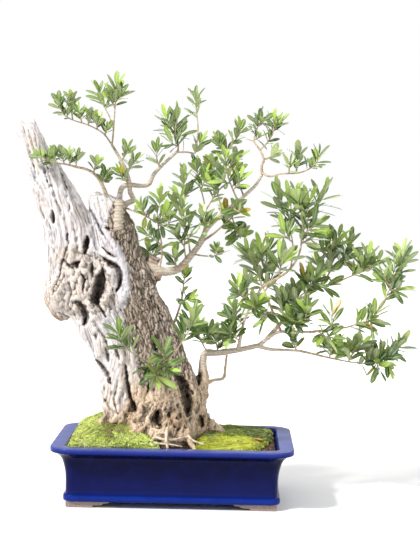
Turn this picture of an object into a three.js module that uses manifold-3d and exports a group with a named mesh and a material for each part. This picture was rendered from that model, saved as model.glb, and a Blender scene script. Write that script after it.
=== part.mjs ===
// Old olive bonsai in a glazed rectangular pot. Millimetres, +Z up, pot length along X.
// Origin: under the middle of the whole object, on the plane that the pot's feet stand on.
import * as THREE from 'three';
import { mergeVertices } from 'three/addons/utils/BufferGeometryUtils.js';
import Module from 'manifold-3d';

const wasm = await Module();
wasm.setup();

// ---- Driving dimensions ----
const GAP = 0.3; // clearance between pieces that touch
const POT_HALF = [154, 101.5]; // half length and half depth of the pot at its foot line
const POT_CORNER = 14; // corner radius of the wall at the foot line
const FOOT = { height: 9, long: 64, short: 46, thick: 13, inset: 3 }; // the four cloud feet
const FLOOR_TOP = 18;
const DRAIN_RADIUS = 13;
const DRAIN_X = 75;
const SCREEN = { side: 46, thick: 1.2, slot: 5, slotLength: 36, pitch: 10 }; // slotted drain cover
const SOIL_EDGE = 80; // height of the soil along the pot's walls
const MOUNDS = [
  { at: [-80, 0], spread: [62, 75], rise: 27 },
  { at: [45, 0], spread: [75, 65], rise: 13 },
];
const SOIL_GRID = [8, 6]; // facets of the soil's top along X and Y

// What lies on the soil. A cushion of moss: x, y, reach along X and Y, thickness. A pebble: x, y, size.
const MOSS_LEFT = [[-106, -44, 50, 52, 8], [-100, 44, 52, 52, 9], [-56, -70, 46, 26, 7]];
const MOSS_RIGHT = [[90, -14, 52, 42, 7], [78, 42, 46, 44, 8]];
const PEBBLES = [[134, 56, 5], [140, 44, 3.6], [126, 66, 4]];
const GRASS = { at: [76, -32], blades: 6, crown: 2.6, rise: 7.5, lengths: [13, 22], half: 1.1 };
const FALLEN_LEAF = { at: [112, -30], rise: 6.7, long: 19, half: 3.2 };

// Outward offset of the pot's wall from POT_HALF at each height, from the foot line to the rim.
const POT_OUTSIDE = [
  [9, 0], [11, 1.6], [17, 1.6], [19, -1.8], [45, -1.6], [58, 0.4], [68, 3.4], [75, 8.4], [79, 15],
  [80.5, 20.4], [86.5, 21], [88, 19.6],
];
const POT_INSIDE = [[FLOOR_TOP, -12], [22, -10], [68, -9], [82, -5], [89, -0.5]];
const MOSS_BOUNDS = [[60, -10], [82, -6], [150, -6]];

const FINISH = {
  glaze: { color: 0x141a66, roughness: 0.18, metalness: 0 },
  mesh: { color: 0x202020, roughness: 0.6, metalness: 0 },
  soil: { color: 0x5b4632, roughness: 1, metalness: 0 },
  bark: { color: 0x9a8c7c, roughness: 0.9, metalness: 0 },
  leaf: { color: 0x4e7a3c, roughness: 0.5, metalness: 0 },
  moss: { color: 0x7c9a2e, roughness: 1, metalness: 0 },
  darkMoss: { color: 0x4a6a2a, roughness: 1, metalness: 0 },
  deadLeaf: { color: 0xc9762c, roughness: 0.7, metalness: 0 },
  stone: { color: 0xcfc6b8, roughness: 0.8, metalness: 0 },
};

// ---- Solids ----
function solid(geometry) {
  const bare = geometry.index ? geometry : geometry.clone();
  bare.deleteAttribute('normal');
  bare.deleteAttribute('uv');
  const merged = mergeVertices(bare, 1e-4);
  return new wasm.Manifold(new wasm.Mesh({
    numProp: 3,
    vertProperties: new Float32Array(merged.attributes.position.array),
    triVerts: new Uint32Array(merged.index.array),
  }));
}

function join(parts) {
  return parts.reduce((whole, part) => whole.add(part));
}

// The largest body of a solid, without the scraps that a cut leaves.
function mainBody(body) {
  const bodies = body.decompose();
  return bodies.reduce((best, one) => (one.volume() > best.volume() ? one : best));
}

// Moves every vertex of a geometry by a rule.
function reshape(geometry, rule) {
  const place = geometry.attributes.position;
  const point = new THREE.Vector3();
  for (let i = 0; i < place.count; i += 1) {
    point.fromBufferAttribute(place, i);
    rule(point);
    place.setXYZ(i, point.x, point.y, point.z);
  }
  return geometry;
}

const group = new THREE.Group();

function addPiece(name, body, finish) {
  const { numProp, vertProperties, triVerts } = body.getMesh();
  const geometry = new THREE.BufferGeometry();
  geometry.setAttribute('position', new THREE.BufferAttribute(new Float32Array(vertProperties), numProp));
  geometry.setIndex(new THREE.BufferAttribute(new Uint32Array(triVerts), 1));
  geometry.computeVertexNormals();
  const piece = new THREE.Mesh(geometry, new THREE.MeshStandardMaterial(finish));
  piece.name = name;
  group.add(piece);
}

// ---- Pot ----
// A block with the pot's rounded rectangle as its plan, and an outward offset at each height.
function trayBlock(levels) {
  const perCorner = 3;
  const turn = Math.PI / perCorner / 4;
  const geometry = new THREE.CylinderGeometry(1, 1, levels.length - 1, perCorner * 4, levels.length - 1);
  reshape(geometry, (p) => {
    const row = Math.round(p.y + (levels.length - 1) / 2);
    const [height, offset] = levels[row];
    const reach = Math.hypot(p.x, p.z);
    const angle = Math.atan2(-p.z, p.x) + turn;
    const radius = POT_CORNER + offset;
    if (reach < 0.5) {
      p.set(0, 0, height);
      return;
    }
    p.set(
      Math.cos(angle) * radius + Math.sign(Math.cos(angle)) * (POT_HALF[0] - POT_CORNER),
      Math.sin(angle) * radius + Math.sign(Math.sin(angle)) * (POT_HALF[1] - POT_CORNER),
      height,
    );
  });
  return solid(geometry);
}

// One run of a cloud foot: full height at the corner, stepping up in two scallops to its end.
function cloudRun(length) {
  const outline = new THREE.Shape();
  const top = FOOT.height + 1.5;
  outline.moveTo(0, top);
  outline.lineTo(0, 2);
  outline.quadraticCurveTo(0.5, 0, 3, 0);
  outline.lineTo(length * 0.48, 0);
  outline.quadraticCurveTo(length * 0.6, 0.3, length * 0.62, 3.4);
  outline.quadraticCurveTo(length * 0.8, 2.8, length * 0.84, 6);
  outline.quadraticCurveTo(length * 0.98, 5.8, length, top);
  return new THREE.ExtrudeGeometry(outline, { depth: FOOT.thick, bevelEnabled: false, curveSegments: 2 });
}

function cloudFoot(sideX, sideY) {
  const { inset, thick } = FOOT;
  const longRun = cloudRun(FOOT.long);
  longRun.rotateX(Math.PI / 2);
  longRun.translate(-POT_HALF[0] + inset, -POT_HALF[1] + inset + thick, 0);
  const shortRun = cloudRun(FOOT.short);
  shortRun.rotateX(Math.PI / 2);
  shortRun.rotateZ(Math.PI / 2);
  shortRun.translate(-POT_HALF[0] + inset, -POT_HALF[1] + inset, 0);
  const foot = solid(longRun).add(solid(shortRun));
  const mirrored = sideX > 0 ? foot.mirror([1, 0, 0]) : foot;
  return sideY > 0 ? mirrored.mirror([0, 1, 0]) : mirrored;
}

function buildPot() {
  const feet = [];
  const drains = [];
  for (const sideX of [-1, 1]) {
    for (const sideY of [-1, 1]) {
      feet.push(cloudFoot(sideX, sideY));
    }
    const drain = new THREE.CylinderGeometry(DRAIN_RADIUS, DRAIN_RADIUS, 2 * FLOOR_TOP, 12);
    drain.rotateX(Math.PI / 2);
    drain.translate(sideX * DRAIN_X, 0, FLOOR_TOP / 2);
    drains.push(solid(drain));
  }
  return join([trayBlock(POT_OUTSIDE), ...feet]).subtract(trayBlock(POT_INSIDE)).subtract(join(drains));
}

// A square of slotted plastic that covers a drain hole from inside.
function buildScreen(sideX) {
  const { side, thick, slot, slotLength, pitch } = SCREEN;
  const height = FLOOR_TOP + GAP + thick / 2;
  const slots = [-1.5, -0.5, 0.5, 1.5].map((step) => {
    const opening = new THREE.BoxGeometry(slotLength, slot, thick * 3);
    opening.translate(0, step * pitch, 0);
    return solid(opening);
  });
  const plate = solid(new THREE.BoxGeometry(side, side, thick));
  return plate.subtract(join(slots)).translate([sideX * DRAIN_X, 0, height]);
}

// ---- Soil and what lies on it ----
function soilTop(x, y) {
  let height = SOIL_EDGE;
  for (const { at, spread, rise } of MOUNDS) {
    height += rise * Math.exp(-(((x - at[0]) / spread[0]) ** 2) - ((y - at[1]) / spread[1]) ** 2);
  }
  return height + 0.7 * Math.sin(x * 0.19 + y * 0.07) * Math.sin(y * 0.23 - x * 0.05);
}

function soilBlock() {
  const bottom = FLOOR_TOP + GAP;
  const size = [2 * POT_HALF[0], 2 * POT_HALF[1]];
  const geometry = new THREE.BoxGeometry(size[0], size[1], 1, ...SOIL_GRID, 1);
  reshape(geometry, (p) => {
    p.z = p.z > 0 ? soilTop(p.x, p.y) : bottom;
  });
  const inside = POT_INSIDE.map(([height, offset]) => [height, offset - GAP]);
  inside[inside.length - 1] = [150, inside[inside.length - 1][1]];
  return solid(geometry).intersect(trayBlock(inside));
}

// A cushion of moss: a low bumpy dome whose underside is cut away by the soil later.
function cushion(x, y, reachX, reachY, thick) {
  const geometry = new THREE.SphereGeometry(1, 9, 4);
  geometry.rotateX(Math.PI / 2);
  reshape(geometry, (p) => {
    const angle = Math.atan2(p.y, p.x);
    const wave = 1 + 0.07 * Math.sin(3 * angle + x) + 0.05 * Math.sin(5 * angle + y);
    const px = x + p.x * reachX * wave;
    const py = y + p.y * reachY * wave;
    const bump = 1 + 0.22 * Math.sin(px * 0.13) * Math.cos(py * 0.17 + 1);
    p.set(px, py, soilTop(px, py) + p.z * thick * bump);
  });
  return solid(geometry);
}

function pebble(x, y, size) {
  const geometry = new THREE.SphereGeometry(size, 6, 4);
  geometry.rotateX(Math.PI / 2);
  reshape(geometry, (p) => {
    const dent = 1 + 0.12 * Math.sin(p.x * 1.7 + x) * Math.cos(p.y * 1.3 + y);
    p.set(x + p.x * dent * 1.2, y + p.y * dent, soilTop(x, y) + size * 0.3 + p.z * 0.7);
  });
  return solid(geometry);
}

// ---- Wood ----
// A round or oval length of wood along a smooth line. Each station is [x, y, z, half width, half depth].
// Flutes are the grain's long ridges, and grow widens the whole body to cut a seat for it.
function wood(stations, { sides = 8, rows = 8, flutes = 0, ridge = 0, twist = 0, grow = 0 } = {}) {
  const middle = new THREE.CatmullRomCurve3(stations.map((s) => new THREE.Vector3(s[0], s[1], s[2])));
  const girth = new THREE.CatmullRomCurve3(stations.map((s) => new THREE.Vector3(s[3], s[4] ?? s[3], 0)));
  const geometry = new THREE.CylinderGeometry(1, 1, 1, sides, rows);
  const front = new THREE.Vector3(0, -1, 0);
  reshape(geometry, (p) => {
    const along = p.y + 0.5;
    const tangent = middle.getTangent(along);
    const side = new THREE.Vector3().crossVectors(tangent, front).normalize();
    const face = new THREE.Vector3().crossVectors(side, tangent).normalize();
    const centre = middle.getPoint(along);
    const size = girth.getPoint(along);
    const angle = Math.atan2(p.x, p.z);
    const fluting = 1 + ridge * Math.cos(flutes * angle + twist * along);
    const reach = Math.hypot(p.x, p.z) > 0.5 ? 1 : 0;
    const end = along < 0.001 ? -1 : Number(along > 0.999);
    p.copy(centre);
    p.addScaledVector(side, reach * Math.sin(angle) * (size.x * fluting + grow));
    p.addScaledVector(face, reach * Math.cos(angle) * (size.y * fluting + grow));
    p.addScaledVector(tangent, end * grow);
  });
  return solid(geometry);
}

const COLUMNS = {
  // Dead side: the silver column up to the broken top, bleached and split.
  deadwood: {
    form: { sides: 12, rows: 12, flutes: 5, ridge: 0.1, twist: 2.4 },
    line: [
      [-223, 0, 548, 9, 8], [-214, 0, 520, 15, 13], [-206, 0, 498, 20, 16], [-192, 0, 465, 27, 20],
      [-178, 0, 430, 33, 25], [-164, 0, 395, 36, 30], [-154, 0, 355, 40, 34], [-146, 0, 320, 40, 38],
      [-130, 0, 285, 42, 40], [-105, 0, 250, 38, 42], [-88, 0, 215, 32, 42], [-84, -4, 175, 30, 42],
      [-80, -8, 135, 26, 40], [-80, -8, 100, 26, 40], [-78, -5, 78, 22, 34],
    ],
  },
  // Live side: the thick vein with bark that carries all the limbs.
  liveVein: {
    form: { sides: 11, rows: 12, flutes: 4, ridge: 0.07, twist: -2 },
    line: [
      [-128, 2, 444, 9, 12], [-112, 0, 428, 24, 24], [-98, 0, 405, 32, 30], [-92, 0, 375, 34, 34],
      [-84, 0, 345, 34, 36], [-68, 0, 312, 37, 38], [-62, 0, 290, 36, 40], [-46, 0, 262, 38, 42],
      [-34, 0, 236, 38, 44], [-24, 0, 210, 38, 46], [-16, -2, 180, 42, 48], [-6, -4, 150, 46, 50],
      [-6, -6, 120, 48, 52], [-4, -6, 96, 50, 54], [-8, -4, 78, 40, 44],
    ],
  },
  heart: {
    form: { sides: 8, rows: 5, flutes: 3, ridge: 0.06, twist: 1 },
    line: [
      [-134, 6, 400, 22, 22], [-122, 6, 350, 30, 30], [-108, 8, 300, 34, 36], [-78, 8, 250, 36, 42],
      [-58, 6, 200, 34, 48], [-46, 0, 150, 40, 52], [-42, 0, 92, 46, 54],
    ],
  },
  burl: {
    form: { sides: 9, rows: 5, flutes: 4, ridge: 0.12, twist: 2 },
    line: [
      [-158, -4, 352, 22, 20], [-172, -6, 322, 20, 22], [-177, -6, 298, 20, 24], [-172, -4, 278, 17, 20],
      [-163, -2, 262, 10, 12],
    ],
  },
  rightStem: {
    form: { sides: 8, rows: 7, flutes: 3, ridge: 0.08, twist: 1.5 },
    line: [
      [40, 6, 190, 7, 7], [41, 5, 176, 10, 11], [35, 2, 156, 13, 16], [28, 0, 132, 18, 24],
      [34, -4, 108, 20, 26], [42, -6, 94, 16, 20], [44, -6, 80, 10, 14],
    ],
  },
  baseFront: {
    form: { sides: 9, rows: 4, flutes: 4, ridge: 0.1, twist: 1 },
    line: [
      [-20, -26, 190, 22, 22], [-18, -36, 155, 30, 22], [-14, -44, 120, 34, 22], [-8, -50, 96, 36, 20],
      [-6, -50, 74, 26, 14],
    ],
  },
  baseBack: {
    form: { sides: 9, rows: 4, flutes: 4, ridge: 0.1, twist: 1 },
    line: [
      [-40, 26, 200, 24, 24], [-36, 36, 160, 34, 24], [-30, 42, 120, 42, 26], [-24, 46, 94, 46, 26],
      [-24, 42, 72, 30, 18],
    ],
  },
  // Below the soil the base is one plain block that stands in a hole of its own shape.
  footing: {
    form: { sides: 10, rows: 1 },
    line: [[-20, 0, 84, 92, 62], [-20, 0, 64, 80, 52]],
  },
  stub: {
    form: { sides: 8, rows: 3, flutes: 4, ridge: 0.05, twist: 0 },
    line: [[-96, 0, 405, 10, 10], [-95, 0, 418, 9, 9], [-95, 0, 428, 9.5, 9], [-95, 0, 436, 7.5, 7.5]],
  },
};

// Broken tips of the dead column, raised knobs and the wood tongue inside the hollow.
const KNOBS = [
  [[-226, 0, 530, 8, 7], [-236, -3, 534, 5, 5], [-243, -5, 538, 1.5, 1.5]],
  [[-224, -1, 536, 8, 6], [-232, -3, 548, 4, 3], [-235, -4, 553, 1.6, 1.6]],
  [[-214, 1, 534, 7, 7], [-216, 2, 550, 5, 5], [-215, 2, 557, 1.6, 1.6]],
  [[-45, 5, 352, 10, 10], [-36, 2, 350, 8, 9], [-26, 0, 352, 4, 5], [-22, 0, 354, 2, 2.5]],
  [[-54, 3, 330, 16, 16], [-38, 2, 326, 13, 14], [-26, 1, 331, 9, 9], [-18, 0, 336, 6, 6]],
];

// Root flare at the soil: each runs out from the base and dives under the moss.
const ROOTS = [
  [[30, -8, 122, 14, 14], [58, -14, 102, 10, 9], [84, -22, 90, 6, 5], [104, -28, 80, 3.4, 3]],
  [[22, 22, 118, 14, 14], [48, 44, 98, 9, 8], [70, 60, 84, 4, 4]],
  [[-84, -18, 124, 16, 14], [-110, -32, 110, 11, 9], [-132, -44, 94, 5, 5]],
  [[-84, 22, 124, 14, 14], [-112, 40, 106, 9, 8], [-132, 52, 90, 4, 4]],
  [[-40, 50, 112, 14, 12], [-52, 72, 94, 9, 8], [-60, 86, 78, 4, 4]],
  [[-48, -44, 116, 16, 12], [-56, -62, 98, 10, 8], [-62, -78, 84, 4, 4]],
  [[12, -48, 108, 12, 10], [24, -64, 94, 7, 6], [34, -80, 80, 3, 3]],
];
const SURFACE_ROOTS = [
  [[-6, -58, 118, 2.6], [-9, -72, 104, 2.4], [-9, -84, 93, 2.2], [-5, -94, 78, 1.6]],
  [[-20, -62, 104, 2.4], [-24, -80, 88, 2.2], [-10, -78, 92, 2.2], [4, -74, 93, 2], [16, -66, 96, 2]],
];

// Hollows of the dead side, each a curved cutter: the S-shaped cavity, slot, crevices and base caves.
const HOLLOWS = [
  [[-106, -40, 366, 5, 10], [-104, -44, 350, 8, 16], [-94, -44, 340, 7, 14], [-84, -44, 338, 4, 10]],
  [[-108, -42, 344, 6, 14], [-114, -44, 322, 7, 16], [-116, -42, 302, 6, 14], [-110, -42, 284, 4, 12]],
  [[-82, -42, 326, 4, 10], [-80, -44, 312, 7, 16], [-84, -42, 298, 4, 10]],
  [[-132, -34, 384, 3, 12], [-133, -36, 372, 4, 18], [-134, -36, 358, 3, 12]],
  [[-126, -38, 344, 4, 10], [-122, -40, 336, 7, 12], [-116, -40, 332, 4, 10]],
  [[-146, -36, 350, 4, 10], [-147, -38, 343, 6, 14], [-148, -38, 334, 3, 10]],
  [[-182, -20, 422, 3, 8], [-182, -22, 412, 4, 12], [-181, -24, 402, 3, 8]],
  [[-70, -48, 194, 3, 8], [-68, -54, 170, 3.5, 10], [-62, -56, 148, 4.5, 12], [-54, -58, 132, 6, 12]],
  [[8, -54, 190, 4, 14], [14, -58, 174, 8, 20], [17, -60, 152, 9, 20], [12, -62, 134, 5, 14]],
  [[-22, -72, 132, 4, 12], [-24, -74, 121, 6, 16], [-25, -76, 110, 4, 12]],
  [[31, -20, 186, 2, 10], [31, -24, 174, 3, 14], [31, -24, 164, 2, 10]],
  [[-126, 34, 380, 5, 14], [-120, 38, 345, 9, 20], [-108, 42, 305, 8, 18], [-98, 44, 272, 4, 12]],
  [[-50, 66, 176, 4, 14], [-40, 72, 150, 8, 18], [-34, 76, 124, 5, 14]],
];

// Limbs: base and tip radius, then the line of the middle.
const LIMBS = {
  crown: [5, 2.2, [-85, 0, 421], [-77, 0, 433], [-67, 2, 439], [-72, 5, 451], [-74, 8, 467], [-81, 12, 486],
    [-91, 16, 504], [-101, 20, 520]],
  arching: [5, 2.2, [-88, 5, 430], [-86, 8, 453], [-77, 10, 461], [-57, 14, 460], [-45, 18, 463],
    [-37, 22, 479], [-18, 26, 499], [-3, 30, 513]],
  middle: [9, 4.2, [-50, 5, 347], [-29, 0, 336], [-14, 0, 334], [4, 0, 340], [15, 0, 353], [27, 0, 368],
    [37, 2, 382]],
  middleUp: [4.2, 2.2, [31, 0, 374], [43, -6, 398], [63, -12, 419], [91, -18, 443], [103, -22, 454],
    [113, -26, 464], [122, -30, 479]],
  right: [7, 3.8, [40, 6, 185], [40, 8, 203], [44, 10, 213], [62, 8, 214], [89, 2, 219], [112, -5, 225],
    [128, -10, 230]],
  rightFront: [3.4, 2, [124, -9, 229], [137, -15, 241], [150, -20, 249], [170, -28, 251], [196, -38, 252]],
  rightRise: [3.8, 2.2, [134, -13, 238], [149, -10, 256], [165, -4, 273], [181, 2, 287], [195, 8, 303]],
  rightBack: [3.4, 2, [121, -8, 227], [139, 6, 221], [160, 18, 219], [185, 28, 217]],
  weave: [3, 1.8, [92, 0, 221], [96, -16, 245], [101, -30, 269], [112, -42, 295], [125, -48, 317]],
  oldHook: [4.6, 3.4, [45, 14, 168], [57, 24, 171], [71, 34, 173], [73, 42, 187], [75, 50, 206]],
};

function limb([base, tip, ...line], grow) {
  const last = line.length - 1;
  const stations = line.map((point, i) => [...point, base + ((tip - base) * i) / last]);
  return wood(stations, { sides: 6, rows: last, grow });
}

// The whole wood body, or the same body widened by grow and without its hollows, as a cutter.
function buildTrunk(grow) {
  const parts = Object.values(COLUMNS).map(({ form, line }) => wood(line, { ...form, grow }));
  for (const line of KNOBS) {
    parts.push(wood(line, { sides: 5, rows: 2, grow }));
  }
  for (const line of ROOTS) {
    parts.push(wood(line, { sides: 6, rows: 3, grow }));
  }
  for (const line of SURFACE_ROOTS) {
    parts.push(wood(line, { sides: 5, rows: 6, grow }));
  }
  for (const line of Object.values(LIMBS)) {
    parts.push(limb(line, grow));
  }
  const body = join(parts);
  if (grow > 0) {
    return body;
  }
  const cutters = HOLLOWS.map((line) => wood(line, { sides: 6, rows: 3 }));
  return mainBody(body.subtract(join(cutters)));
}

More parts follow.
